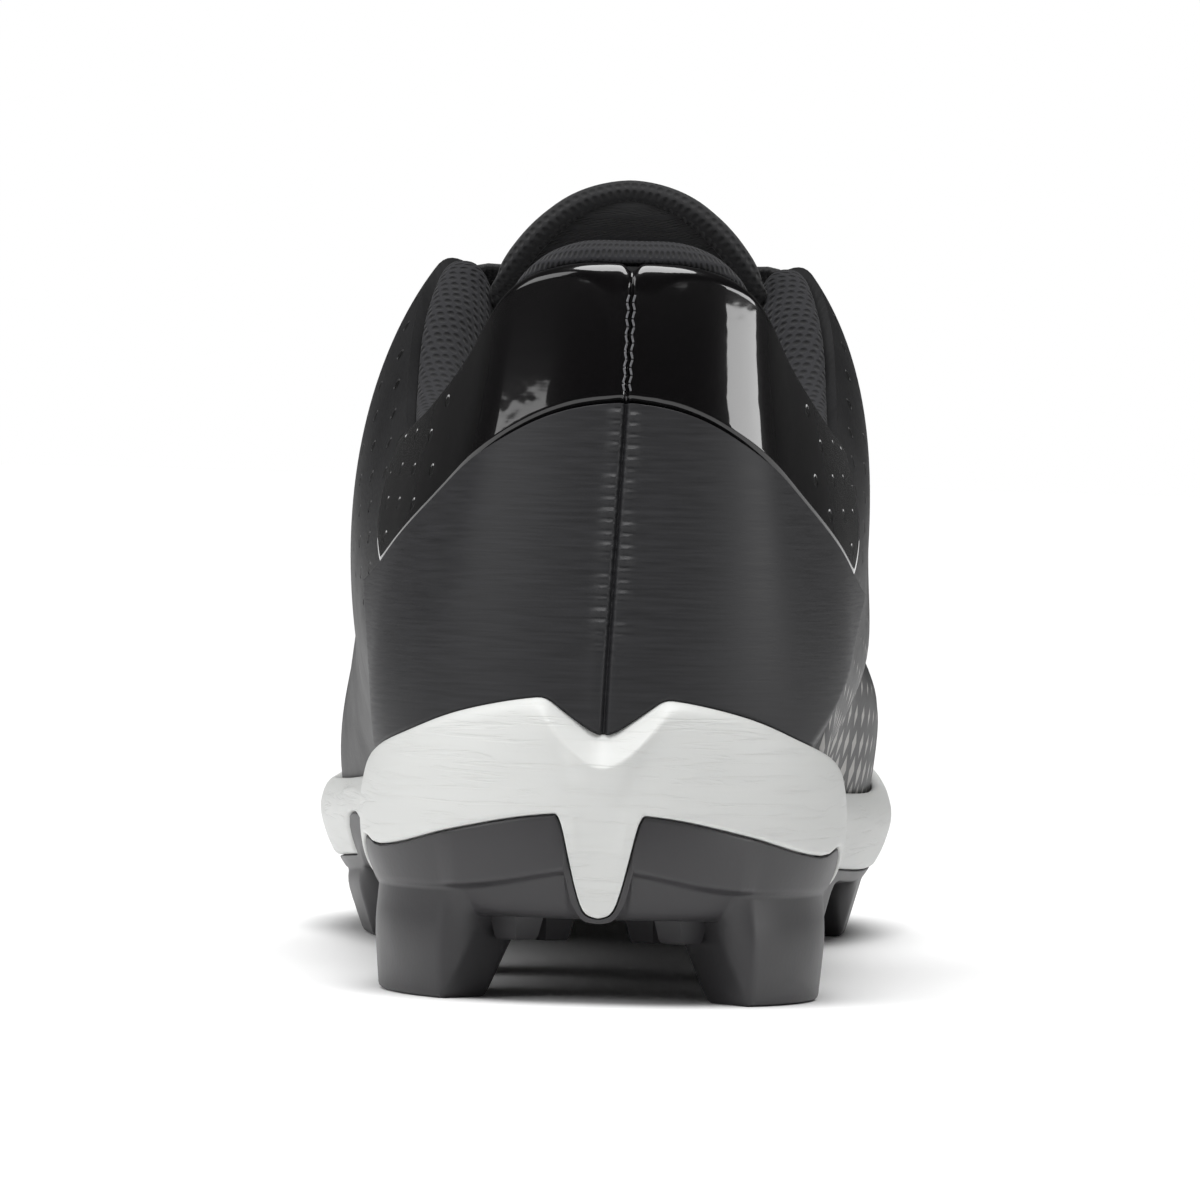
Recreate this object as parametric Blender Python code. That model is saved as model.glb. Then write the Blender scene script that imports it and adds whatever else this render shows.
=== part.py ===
"""Left softball cleat with moulded rubber studs, standing empty on its studs.

Frame in metres: +Z up, +Y from heel to toe, +X to the inner side of the foot.
The origin lies on the floor under the middle of the shoe.

Tables and sizes are in millimetres, measured from the back of the heel, and are
scaled to metres where a mesh is made. Places round the shoe are given by "turn":
0 at the back of the heel, -1 to 0 along the outer side, 0 to 1 along the inner side,
and both -1 and 1 at the tip of the toe. Its size is a share of the sole's edge.
"""

from collections import namedtuple

import bmesh
import bpy
import numpy as np

MM = 0.001

# Driving sizes
LENGTH = 272.0
HEEL_ROUND = 38.0
TOE_ROUND = 82.0
END_POWER = 2.3
GAP = 0.3
LAYER_GAP = 0.45
OVERLAY_GAP = 0.5

# Sole
OUTSOLE_THICKNESS = 3.2
OUTSOLE_INSET = 0.4
WALL_TUCK = 5.0
WALL_ROUND = 13.0
CUP_INNER = 0.82
CUP_LEDGE = 0.95
RIM_THICKNESS = 2.6
SPINE_HEEL = 26.0
SPINE_TOE = 34.0
NOTCH_DEPTH = 6.2
NOTCH_HALF_WIDTH = 8.8
LEG_BOTTOM = 12.6
LEG_LOW_HALF_WIDTH = 2.6
LEG_HIGH_HALF_WIDTH = 5.4
LEG_TOP = 26.4
WRAP_HEIGHT = 6.5
WRAP_PLACE = -0.50
WRAP_HALF_WIDTH = 0.030
INSOLE_THICKNESS = 3.5
INSOLE_CLEARANCE = 0.6
STUD_TAPER = 0.80
STUD_EMBED = 1.6
EDGE_INSET = 2.0

# Upper
UPPER_INSET = 5.0
UPPER_SPACING = 6.5
PANEL_SPACING = 3.2
WALL = 2.2
COUNTER_THICKNESS = 1.2
PANEL_THICKNESS = 0.9
EYESTAY_THICKNESS = 1.1
TOPLINE = 0.985
EYELET_RADIUS = 2.0
EYELET_PLACE = 0.905
EYELETS = np.linspace(0.45, 0.70, 6)

# Lace
LACE_WIDTH = 5.5
LACE_THICKNESS = 1.5
LACE_CLEARANCE = 0.5
LACE_LIFT = 2.0
LACE_OVER = 1.00

Plan = namedtuple("Plan", "share half_width centre")
PLAN = (
    Plan(0.00, 35.0, 0.0),
    Plan(0.14, 35.0, 0.0),
    Plan(0.25, 33.6, -0.8),
    Plan(0.36, 32.6, -2.4),
    Plan(0.46, 34.8, -3.8),
    Plan(0.56, 40.2, -3.8),
    Plan(0.64, 44.6, -2.8),
    Plan(0.72, 46.4, -1.2),
    Plan(0.80, 46.4, 0.5),
    Plan(0.90, 46.4, 3.0),
    Plan(1.00, 46.4, 5.0),
)

Level = namedtuple("Level", "share plate footbed")
LEVELS = (
    Level(0.00, 11.8, 27.0),
    Level(0.15, 11.5, 26.5),
    Level(0.28, 12.5, 25.0),
    Level(0.42, 13.0, 22.5),
    Level(0.55, 11.0, 20.0),
    Level(0.70, 8.8, 18.0),
    Level(0.85, 10.0, 20.0),
    Level(1.00, 15.5, 26.0),
)

Edge = namedtuple("Edge", "turn parting rim")
EDGES = (
    Edge(0.000, 27.2, 43.6),
    Edge(0.030, 26.6, 43.2),
    Edge(0.070, 24.2, 41.0),
    Edge(0.110, 21.6, 37.6),
    Edge(0.135, 21.2, 36.0),
    Edge(0.152, 22.4, 35.0),
    Edge(0.175, 17.5, 33.5),
    Edge(0.200, 14.8, 32.0),
    Edge(0.300, 14.6, 29.8),
    Edge(0.420, 15.2, 29.0),
    Edge(0.550, 13.2, 28.0),
    Edge(0.680, 11.4, 27.2),
    Edge(0.800, 12.8, 28.6),
    Edge(0.900, 16.2, 31.5),
    Edge(1.000, 19.5, 34.0),
)

Step = namedtuple("Step", "run size")
COLUMN_STEPS = (
    Step(0.0, 1.1),
    Step(5.5, 1.1),
    Step(9.0, 2.0),
    Step(32.0, 6.0),
    Step(70.0, 12.0),
    Step(230.0, 12.0),
    Step(262.0, 9.0),
    Step(320.0, 8.0),
)

Stud = namedtuple("Stud", "start end depth")
STUDS = (
    Stud(20.0, 56.0, 18.0),
    Stud(82.0, 106.0, 15.0),
    Stud(172.0, 194.0, 17.0),
    Stud(212.0, 236.0, 18.0),
    Stud(254.0, 280.0, 18.0),
)

Tooth = namedtuple("Tooth", "x y size bottom")
TEETH = (
    Tooth(7.5, 32.0, 8.0, 7.4),
    Tooth(7.5, 48.0, 8.0, 7.4),
    Tooth(9.0, 168.0, 9.0, 4.0),
    Tooth(10.0, 200.0, 9.0, 3.5),
    Tooth(10.0, 228.0, 9.0, 5.0),
)

Section = namedtuple("Section", "turn top_y top_x top_z rise flare drop spread")
SECTIONS = (
    Section(0.000, 9.5, 0.0, 103.5, 24.0, 5.0, 26.0, -1.0),
    Section(0.050, 11.0, 10.5, 103.0, 24.0, 5.0, 26.0, -0.5),
    Section(0.085, 15.0, 17.0, 100.0, 24.0, 5.0, 24.0, 0.5),
    Section(0.120, 24.0, 21.5, 91.5, 22.0, 5.0, 20.0, 1.5),
    Section(0.160, 36.0, 26.0, 85.0, 20.0, 5.5, 18.0, 3.0),
    Section(0.210, 51.0, 29.5, 81.0, 20.0, 6.5, 17.0, 4.5),
    Section(0.260, 66.0, 31.5, 79.8, 20.0, 8.5, 17.0, 6.5),
    Section(0.310, 82.0, 32.0, 86.0, 22.0, 11.0, 18.0, 9.0),
    Section(0.360, 95.0, 31.0, 99.0, 24.0, 13.0, 21.0, 12.0),
    Section(0.400, 105.0, 27.5, 106.5, 25.0, 14.0, 20.0, 16.0),
    Section(0.440, 115.0, 22.0, 104.5, 26.0, 13.5, 16.0, 18.5),
    Section(0.500, 131.0, 17.5, 94.0, 26.0, 11.5, 12.0, 19.0),
    Section(0.580, 153.0, 14.0, 80.5, 25.0, 8.5, 8.0, 18.5),
    Section(0.660, 173.0, 11.5, 69.0, 24.0, 6.0, 5.0, 19.0),
    Section(0.740, 185.0, 8.5, 63.5, 23.0, 4.5, 4.0, 21.0),
    Section(0.860, 191.0, 4.5, 61.0, 21.0, 3.5, 5.0, 28.0),
    Section(1.000, 193.0, 0.0, 60.0, 20.0, 3.0, 8.0, 34.0),
)

Ridge = namedtuple("Ridge", "share offset")
RIDGE = (
    Ridge(0.00, 2.4),
    Ridge(0.10, 2.0),
    Ridge(0.25, 0.8),
    Ridge(0.38, 0.2),
    Ridge(0.50, 0.4),
    Ridge(0.72, 1.5),
    Ridge(1.00, 3.0),
)

Arch = namedtuple("Arch", "turn height")
ARCH = (
    Arch(0.00, 84.2),
    Arch(0.05, 81.8),
    Arch(0.09, 76.0),
    Arch(0.12, 71.0),
    Arch(0.16, 65.0),
    Arch(0.20, 60.5),
    Arch(0.30, 56.0),
    Arch(1.00, 56.0),
)

Facing = namedtuple("Facing", "turn edge")
FACINGS = (
    Facing(0.00, 0.72),
    Facing(0.38, 0.72),
    Facing(0.50, 0.74),
    Facing(0.66, 0.77),
    Facing(0.76, 0.81),
    Facing(0.86, 0.86),
    Facing(1.00, 0.88),
)

Padding = namedtuple("Padding", "turn thickness")
PADDING = (
    Padding(0.00, 7.0),
    Padding(0.25, 7.0),
    Padding(0.34, 7.0),
    Padding(0.37, 6.0),
    Padding(0.40, 2.5),
    Padding(1.00, 2.5),
)

TongueRow = namedtuple("TongueRow", "y z half_width drop thickness")
TONGUE = (
    TongueRow(199.0, 54.0, 15.0, 2.4, 2.6),
    TongueRow(188.0, 57.6, 18.0, 3.4, 3.0),
    TongueRow(172.0, 66.0, 20.0, 5.0, 3.6),
    TongueRow(152.0, 78.4, 21.0, 6.0, 4.2),
    TongueRow(132.0, 90.6, 20.5, 7.0, 5.0),
    TongueRow(116.0, 101.0, 19.5, 7.5, 6.0),
    TongueRow(106.0, 108.0, 18.5, 7.0, 7.5),
    TongueRow(101.0, 112.0, 16.5, 5.6, 7.5),
    TongueRow(98.0, 114.8, 12.5, 3.4, 6.5),
    TongueRow(96.2, 116.8, 7.0, 1.0, 4.0),
)

Look = namedtuple("Look", "colour roughness")
LOOKS = {
    "outsole": Look((0.068, 0.065, 0.068), 0.55),
    "midsole": Look((0.70, 0.70, 0.69), 0.50),
    "upper": Look((0.028, 0.028, 0.030), 0.60),
    "heel_counter": Look((0.030, 0.030, 0.031), 0.55),
    "collar_panel": Look((0.004, 0.004, 0.005), 0.10),
    "eyestay": Look((0.022, 0.022, 0.024), 0.50),
    "collar_lining": Look((0.024, 0.024, 0.028), 0.90),
    "tongue": Look((0.026, 0.026, 0.030), 0.90),
    "insole": Look((0.040, 0.040, 0.045), 0.85),
    "lace": Look((0.015, 0.015, 0.016), 0.80),
}


# Curves through the tables
def hermite(stations, values, at):
    """Smooth curve through the stations, held level beyond both ends."""
    slopes = np.gradient(values, stations)
    at = np.clip(at, stations[0], stations[-1])
    low = np.clip(np.searchsorted(stations, at, side="right") - 1, 0, len(stations) - 2)
    span = stations[low + 1] - stations[low]
    t = (at - stations[low]) / span
    rise = values[low + 1] - values[low]
    bend = span * (slopes[low] * (1 - t) - slopes[low + 1] * t) + rise * (2 * t - 1)
    return values[low] + rise * t + t * (1 - t) * bend


def column(table, name):
    return np.array([getattr(row, name) for row in table], float)


def along(table, name, y):
    """A table's value at a distance y from the heel."""
    return hermite(column(table, "share"), column(table, name), np.asarray(y) / LENGTH)


def around(table, name, turn, mirrored=1.0):
    """A table's value round the shoe; mirrored is -1 where the outer side changes sign."""
    stations = column(table, "turn")
    values = column(table, name)
    stations = np.concatenate([-stations[:0:-1], stations])
    values = np.concatenate([mirrored * values[:0:-1], values])
    stations = np.concatenate([stations[-4:-1] - 2, stations, stations[1:4] + 2])
    values = np.concatenate([values[-4:-1], values, values[1:4]])
    return hermite(stations, values, turn)


def wrapped(turn):
    return (np.asarray(turn) + 1) % 2 - 1


def smoothstep(t):
    t = np.clip(t, 0, 1)
    return t * t * (3 - 2 * t)


# The sole's edge, seen from above
def half_width(y):
    heel = (1 - (1 - np.clip(y / HEEL_ROUND, 0, 1)) ** END_POWER) ** (1 / END_POWER)
    toe = (1 - (1 - np.clip((LENGTH - y) / TOE_ROUND, 0, 1)) ** END_POWER) ** (1 / END_POWER)
    return along(PLAN, "half_width", y) * heel * toe


def edge_table():
    """Turn, point and outward direction along the sole's edge, from toe to heel to toe."""
    y = LENGTH * (1 - np.cos(np.linspace(0, np.pi, 721))) / 2
    turns = []
    points = []
    for side in (-1, 1):
        x = along(PLAN, "centre", y) + side * half_width(y)
        run = np.concatenate([[0], np.cumsum(np.hypot(np.diff(x), np.diff(y)))])
        turns.append(side * run / run[-1])
        points.append(np.stack([x, y], axis=1))
    turns = np.concatenate([turns[0][:0:-1], turns[1]])
    points = np.concatenate([points[0][:0:-1], points[1]])
    ahead = np.concatenate([points[1:], points[1:2]])
    behind = np.concatenate([points[-2:-1], points[:-1]])
    way = ahead - behind
    way /= np.linalg.norm(way, axis=1)[:, None]
    return turns, points, np.stack([way[:, 1], -way[:, 0]], axis=1), run[-1]


EDGE_TURNS, EDGE_POINTS, EDGE_NORMALS, HALF_ROUND = edge_table()


def sole_edge(turn):
    """(point, outward direction) on the sole's edge, each with two columns."""
    turn = np.asarray(turn, float)
    point = [np.interp(turn, EDGE_TURNS, EDGE_POINTS[:, axis]) for axis in (0, 1)]
    normal = [np.interp(turn, EDGE_TURNS, EDGE_NORMALS[:, axis]) for axis in (0, 1)]
    normal = np.stack(normal, axis=-1)
    return np.stack(point, axis=-1), normal / np.linalg.norm(normal, axis=-1, keepdims=True)


def column_turns():
    """Turns of the sole's columns on one side, close together round the notch and leg."""
    runs = [0.0]
    while runs[-1] < HALF_ROUND:
        size = np.interp(runs[-1], column(COLUMN_STEPS, "run"), column(COLUMN_STEPS, "size"))
        runs.append(runs[-1] + size)
    return np.array(runs) / runs[-1]


SOLE_TURNS = column_turns()


def both_sides(turns):
    return np.concatenate([-turns[:0:-1], turns[:-1]])


def thinned(spacing):
    """The sole's columns on one side that lie at least this far from the one before."""
    kept = [0.0]
    for turn in SOLE_TURNS[1:]:
        if (turn - kept[-1]) * HALF_ROUND > spacing:
            kept.append(turn)
    return np.array(kept)


# Heights of the sole round its edge
def rim_height(turn):
    notch = 1 - np.abs(turn) * HALF_ROUND / NOTCH_HALF_WIDTH
    return around(EDGES, "rim", turn) - NOTCH_DEPTH * np.clip(notch, 0, 1)


def parting_height(turn, wider=0.0):
    """Lower edge of the white midsole; wider makes room round its leg for the outsole."""
    run = np.abs(turn) * HALF_ROUND - wider
    beside = around(EDGES, "parting", turn)
    wrap = np.exp(-(((turn - WRAP_PLACE) / WRAP_HALF_WIDTH) ** 4))
    beside = beside + WRAP_HEIGHT * wrap
    leg = (run - LEG_LOW_HALF_WIDTH) / (LEG_HIGH_HALF_WIDTH - LEG_LOW_HALF_WIDTH)
    side = LEG_BOTTOM + (LEG_TOP - LEG_BOTTOM) * np.clip(leg, 0, 1)
    return np.where(run < LEG_HIGH_HALF_WIDTH, side, beside)


def wall_offset(turn, height):
    """How far the sole's side stands in from its widest line at a height."""
    point, _ = sole_edge(turn)
    above = (height - along(LEVELS, "plate", point[:, 1])) / WALL_ROUND
    return -WALL_TUCK * (1 - np.clip(above, 0, 1)) ** 2


# The upper's own surface
def upper_ribs(turn):
    """The four control points of the upper's rib at each turn, from its base to its edge."""
    turn = np.asarray(turn, float)
    edge, normal = sole_edge(turn)
    base = edge - UPPER_INSET * normal
    top_y = around(SECTIONS, "top_y", turn)
    top_x = around(SECTIONS, "top_x", turn, -1.0) + along(RIDGE, "offset", top_y)
    top = np.stack([top_x, top_y], axis=-1)
    low = along(LEVELS, "footbed", base[..., 1]) + GAP
    high = around(SECTIONS, "top_z", turn)
    flare = around(SECTIONS, "flare", turn)[..., None] * normal
    spread = around(SECTIONS, "spread", turn)[..., None] * normal
    flat = (base, base + flare, top + spread, top)
    heights = (
        low,
        low + around(SECTIONS, "rise", turn),
        high - around(SECTIONS, "drop", turn),
        high,
    )
    return [np.concatenate([p, h[..., None]], axis=-1) for p, h in zip(flat, heights)]


def upper_skin(turn, height_share):
    turn, height_share = np.broadcast_arrays(wrapped(turn), height_share)
    base, low, high, top = upper_ribs(turn)
    t = height_share[..., None]
    return (1 - t) ** 3 * base + 3 * t * (1 - t) ** 2 * low + 3 * t * t * (1 - t) * high + t**3 * top


def upper_normal(turn, height_share):
    small = 1e-3
    round_way = upper_skin(turn + small, height_share) - upper_skin(turn - small, height_share)
    up_way = upper_skin(turn, height_share + small) - upper_skin(turn, height_share - small)
    normal = np.cross(round_way, up_way)
    return normal / np.linalg.norm(normal, axis=-1, keepdims=True)


def upper_point(turn, height_share, out=0.0):
    turn = np.asarray(turn, float)
    height_share = np.asarray(height_share, float)
    out = np.asarray(out, float)[..., None]
    return upper_skin(turn, height_share) + out * upper_normal(turn, height_share)


def share_at_height(turn, height):
    """Height share at which the upper's skin reaches a height, for each turn."""
    shares = np.linspace(0, 1, 201)
    found = []
    for one_turn, one_height in zip(np.ravel(turn), np.ravel(height)):
        levels = upper_skin(one_turn, shares)[:, 2]
        found.append(np.interp(one_height, np.maximum.accumulate(levels), shares))
    return np.reshape(found, np.shape(turn))


# Meshes
def add_piece(name, mesh):
    """An object of this name with the mesh, scaled to metres, and its own material."""
    bmesh.ops.scale(mesh, vec=(MM, MM, MM), verts=mesh.verts)
    data = bpy.data.meshes.new(name)
    mesh.to_mesh(data)
    mesh.free()
    piece = bpy.data.objects.new(name, data)
    bpy.context.scene.collection.objects.link(piece)
    if name in LOOKS:
        material = bpy.data.materials.new(name)
        material.use_nodes = True
        shader = material.node_tree.nodes["Principled BSDF"]
        shader.inputs["Base Color"].default_value = (*LOOKS[name].colour, 1.0)
        shader.inputs["Roughness"].default_value = LOOKS[name].roughness
        data.materials.append(material)
    return piece


def add_cutter(name, mesh):
    cutter = add_piece(name, mesh)
    cutter.hide_render = True
    cutter.display_type = "WIRE"
    return cutter


def add_boolean(piece, other, operation):
    modifier = piece.modifiers.new(other.name, "BOOLEAN")
    modifier.operation = operation
    modifier.solver = "EXACT"
    modifier.object = other


def add_ring(mesh, points):
    return [mesh.verts.new(point) for point in points]


def join_rings(mesh, first, second, closed=True):
    """Quads between two rows of vertices with as many in each."""
    count = len(first) if closed else len(first) - 1
    for i in range(count):
        j = (i + 1) % len(first)
        corners = [first[i], first[j], second[j], second[i]]
        # A quad folds from its first corner; pieces a gap apart have to fold alike
        if seen_from_above(corners[0], corners[2]) > seen_from_above(corners[1], corners[3]):
            corners.append(corners.pop(0))
        mesh.faces.new(corners)


def seen_from_above(first, second):
    return round((first.co.xy - second.co.xy).length, 3)


def disc_body(rings, bottom, top):
    """Closed mesh through rings round the shoe, filled to a spine of points below and above."""
    mesh = bmesh.new()
    ends = []
    for spine in (bottom, top):
        line = add_ring(mesh, spine)
        ends.append(line[:0:-1] + line[:-1])
    rows = [add_ring(mesh, ring) for ring in rings]
    for lower, upper in zip([ends[0]] + rows, rows + [ends[1]]):
        join_rings(mesh, lower, upper)
    return mesh


def shell_body(outer, inner, closed):
    """Closed mesh between two grids of points; closed joins the last row to the first."""
    mesh = bmesh.new()
    outer = [add_ring(mesh, row) for row in np.swapaxes(outer, 0, 1)]
    inner = [add_ring(mesh, row) for row in np.swapaxes(inner, 0, 1)]
    rows = outer + inner[::-1]
    for lower, upper in zip(rows, rows[1:] + rows[:1]):
        join_rings(mesh, lower, upper, closed)
    if not closed:
        for side in (0, -1):
            edge = [[row[side] for row in rows] for rows in (outer, inner)]
            join_rings(mesh, edge[0], edge[1], closed=False)
    bmesh.ops.recalc_face_normals(mesh, faces=mesh.faces)
    return mesh


def loft_body(mesh, sections):
    """Adds a closed tube through the sections, with flat ends."""
    rows = [add_ring(mesh, section) for section in sections]
    faces = [mesh.faces.new(rows[0]), mesh.faces.new(rows[-1][::-1])]
    for first, second in zip(rows, rows[1:]):
        join_rings(mesh, second, first)
    bmesh.ops.recalc_face_normals(mesh, faces=mesh.faces)
    return faces


# Sole layers
def spine_points(turns):
    """Points along the middle of the sole, one for each column on a side."""
    y = SPINE_HEEL + turns * (LENGTH - SPINE_HEEL - SPINE_TOE)
    return np.stack([along(PLAN, "centre", y), y], axis=1)


def inward(turns, flat, share):
    """A ring drawn in towards the spine: 1 at the ring, 0 at the spine."""
    line = spine_points(np.abs(turns))
    return line + share * (flat - line)


def at_height(flat, heights):
    return np.concatenate([flat, np.reshape(heights, (-1, 1))], axis=1)


def level_ring(turns, flat, share, name, lift=0.0):
    """A ring drawn in towards the spine, at a height of the level table."""
    flat = inward(turns, flat, share)
    return at_height(flat, along(LEVELS, name, flat[:, 1]) + lift)


def level_spine(turns, name, lift=0.0):
    flat = spine_points(turns)
    return at_height(flat, along(LEVELS, name, flat[:, 1]) + lift)


def side_ring(turns, heights, inset=0.0):
    flat, normal = sole_edge(turns)
    return at_height(flat + (wall_offset(turns, heights) - inset)[:, None] * normal, heights)


def layer_rings(turns, parting, drop=0.0):
    """Rings of the face between midsole and outsole, from the middle outwards."""
    edge = side_ring(turns, parting_height(turns))[:, :2]
    rings = []
    for share in (0.5, CUP_INNER):
        rings.append(level_ring(turns, edge, share, "plate", OUTSOLE_THICKNESS - drop))
    rings.append(at_height(inward(turns, edge, CUP_LEDGE), parting - drop))
    return rings


def build_outsole():
    turns = both_sides(SOLE_TURNS)
    edge, _ = sole_edge(turns)
    plate = along(LEVELS, "plate", edge[:, 1])
    parting = parting_height(turns, wider=GAP)
    bottom_edge = side_ring(turns, plate, OUTSOLE_INSET + 1.5)
    rings = [level_ring(turns, bottom_edge[:, :2], 0.6, "plate"), bottom_edge]
    for share in (0.3, 1.0):
        rings.append(side_ring(turns, plate + share * (parting - LAYER_GAP - plate), OUTSOLE_INSET))
    rings += layer_rings(turns, parting, LAYER_GAP)[::-1]
    top = level_spine(SOLE_TURNS, "plate", OUTSOLE_THICKNESS - LAYER_GAP)
    outsole = add_piece("outsole", disc_body(rings, level_spine(SOLE_TURNS, "plate"), top))
    add_boolean(outsole, add_cutter("stud_blocks", stud_blocks()), "UNION")


def stud_blocks():
    """Tapered blocks along the edge of the sole, and small teeth along its middle."""
    mesh = bmesh.new()
    for side in (-1, 1):
        for stud in STUDS:
            middle = (stud.start + stud.end) / 2
            quarter = (stud.end - stud.start) / 8
            corners = (
                (stud.start, EDGE_INSET),
                (middle, EDGE_INSET),
                (stud.end, EDGE_INSET),
                (stud.end - quarter, stud.depth),
                (stud.start + quarter, stud.depth),
            )
            runs = np.array([run for run, _ in corners])
            insets = np.array([[inset] for _, inset in corners])
            point, normal = sole_edge(side * runs / HALF_ROUND)
            outline = point - insets * normal
            add_block(mesh, outline, 0.0, (outline.mean(axis=0) + outline[1]) / 2)
        for tooth in TEETH:
            half = tooth.size / 2
            x = along(PLAN, "centre", tooth.y) + side * tooth.x
            corners = ((0, -half), (half, -half / 4), (half / 2, half), (-half / 2, half), (-half, -half / 4))
            outline = np.array([(x + dx, tooth.y + dy) for dx, dy in corners])
            add_block(mesh, outline, tooth.bottom, (x, tooth.y))
    bmesh.ops.recalc_face_normals(mesh, faces=mesh.faces)
    return mesh


def add_block(mesh, outline, bottom, fixed):
    """A block from inside the plate down to a height, its foot drawn in to a fixed point."""
    root = along(LEVELS, "plate", outline[:, 1]) + STUD_EMBED
    foot = fixed + STUD_TAPER * (outline - fixed)
    loft_body(mesh, [at_height(foot, np.full(len(foot), bottom)), at_height(outline, root)])


def build_midsole():
    turns = both_sides(SOLE_TURNS)
    parting = parting_height(turns)
    rim = rim_height(turns)
    rings = layer_rings(turns, parting)
    for share in (0.0, 0.25, 0.60):
        rings.append(side_ring(turns, parting + share * (rim - parting)))
    for drop, out in ((1.2, RIM_THICKNESS), (0.0, 0.45 * RIM_THICKNESS), (0.5, 0.0)):
        share = share_at_height(turns, rim - drop)
        rings.append(upper_point(turns, share, GAP + out))
    rings.append(upper_point(turns, share / 2, GAP))
    base = upper_point(turns, 0.0, GAP)[:, :2]
    for share in (1.0, 0.6):
        rings.append(level_ring(turns, base, share, "footbed"))
    bottom = level_spine(SOLE_TURNS, "plate", OUTSOLE_THICKNESS)
    add_piece("midsole", disc_body(rings, bottom, level_spine(SOLE_TURNS, "footbed")))


def build_insole():
    half = thinned(UPPER_SPACING)
    turns = both_sides(half)
    edge = upper_point(turns, 0.0, -WALL - INSOLE_CLEARANCE)[:, :2]
    heights = (GAP, GAP + INSOLE_THICKNESS)
    rings = []
    for share, height in zip((0.6, 1.0, 1.0, 0.6), np.repeat(heights, 2)):
        rings.append(level_ring(turns, edge, share, "footbed", height))
    bottom, top = (level_spine(half, "footbed", height) for height in heights)
    add_piece("insole", disc_body(rings, bottom, top))


# Upper and the panels on it
def build_upper(eyelets):
    turns = both_sides(thinned(UPPER_SPACING))[:, None]
    shares = np.array([[0.0, 0.07, 0.17, 0.29, 0.43, 0.57, 0.71, 0.84, 0.93, 1.0]])
    mesh = shell_body(upper_point(turns, shares), upper_point(turns, shares, -WALL), closed=True)
    add_boolean(add_piece("upper", mesh), eyelets, "DIFFERENCE")


def add_overlay(name, turns, shares, thickness):
    """A panel that lies on the upper's skin over a grid of turns and height shares."""
    outer = upper_point(turns, shares, OVERLAY_GAP + thickness)
    inner = upper_point(turns, shares, OVERLAY_GAP)
    return add_piece(name, shell_body(outer, inner, closed=False))


def heel_grid(low_reach, high_reach, bulge, rows, low, high):
    """Turns and height shares of a panel round the heel, between two edges."""
    half = thinned(PANEL_SPACING)
    half = half[half < high_reach]
    half = half / half[-1]
    across = np.concatenate([-half[:0:-1], half])[:, None]
    up = np.linspace(0, 1, rows)[None, :]
    reach = low_reach + (high_reach - low_reach) * up + bulge * 4 * up * (1 - up)
    turns = across * reach
    bottom = low(turns)
    return turns, bottom + (high(turns) - bottom) * up


def arch_share(turns, lift):
    return share_at_height(turns, around(ARCH, "height", turns) + lift)


def build_heel_counter():
    turns, shares = heel_grid(
        0.180,
        0.270,
        0.0,
        7,
        lambda turn: share_at_height(turn, rim_height(turn) + OVERLAY_GAP),
        lambda turn: arch_share(turn, -GAP / 2),
    )
    add_overlay("heel_counter", turns, shares, COUNTER_THICKNESS)


def build_collar_panel():
    turns, shares = heel_grid(
        0.205,
        0.258,
        0.02,
        6,
        lambda turn: arch_share(turn, 2 * GAP),
        lambda turn: np.full(turn.shape, TOPLINE),
    )
    add_overlay("collar_panel", turns, shares, PANEL_THICKNESS)


def build_eyestay(eyelets):
    turns = np.linspace(0.405, 1.595, 37)[:, None]
    edge = around(FACINGS, "edge", wrapped(turns))
    shares = edge + (TOPLINE - edge) * np.linspace(0, 1, 3)[None, :]
    eyestay = add_overlay("eyestay", turns, shares, EYESTAY_THICKNESS)
    add_boolean(eyestay, eyelets, "DIFFERENCE")


def eyelet_cutter():
    """Round pins through the upper and eyestay, one for each lace hole."""
    mesh = bmesh.new()
    angles = np.linspace(0, 2 * np.pi, 9)[:-1, None]
    for turn in np.concatenate([-EYELETS, EYELETS]):
        centre = upper_point(turn, EYELET_PLACE)
        normal = upper_normal(turn, EYELET_PLACE)
        first = np.cross(normal, (0.0, 1.0, 0.0))
        first /= np.linalg.norm(first)
        second = np.cross(normal, first)
        circle = EYELET_RADIUS * (np.cos(angles) * first + np.sin(angles) * second)
        loft_body(mesh, [centre - 5 * normal + circle, centre + 5 * normal + circle])
    return add_cutter("eyelet_pins", mesh)


def build_collar_lining():
    half = thinned(UPPER_SPACING)
    half = half[half < 0.405]
    turns = np.concatenate([-half[:0:-1], half])
    padding = around(PADDING, "thickness", turns)
    inside = -WALL - GAP
    rows = [upper_point(turns, share, inside) for share in (0.55, 0.72, 0.88, 1.0)]
    edge = upper_skin(turns, 1.0)
    normal = upper_normal(turns, 1.0)
    rise = edge - upper_skin(turns, 0.98)
    rise /= np.linalg.norm(rise, axis=1)[:, None]
    for up, share_in in ((0.5, 0.1), (2.6, 0.2), (3.4, 0.55), (1.6, 0.95)):
        depth = share_in * (padding - inside)
        rows.append(edge + up * rise - depth[:, None] * normal)
    for share, thickness in ((0.92, 1.0), (0.76, 0.75), (0.55, 0.3)):
        rows.append(upper_point(turns, share, inside - thickness * padding))
    mesh = bmesh.new()
    loft_body(mesh, np.swapaxes(rows, 0, 1))
    add_piece("collar_lining", mesh)


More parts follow.
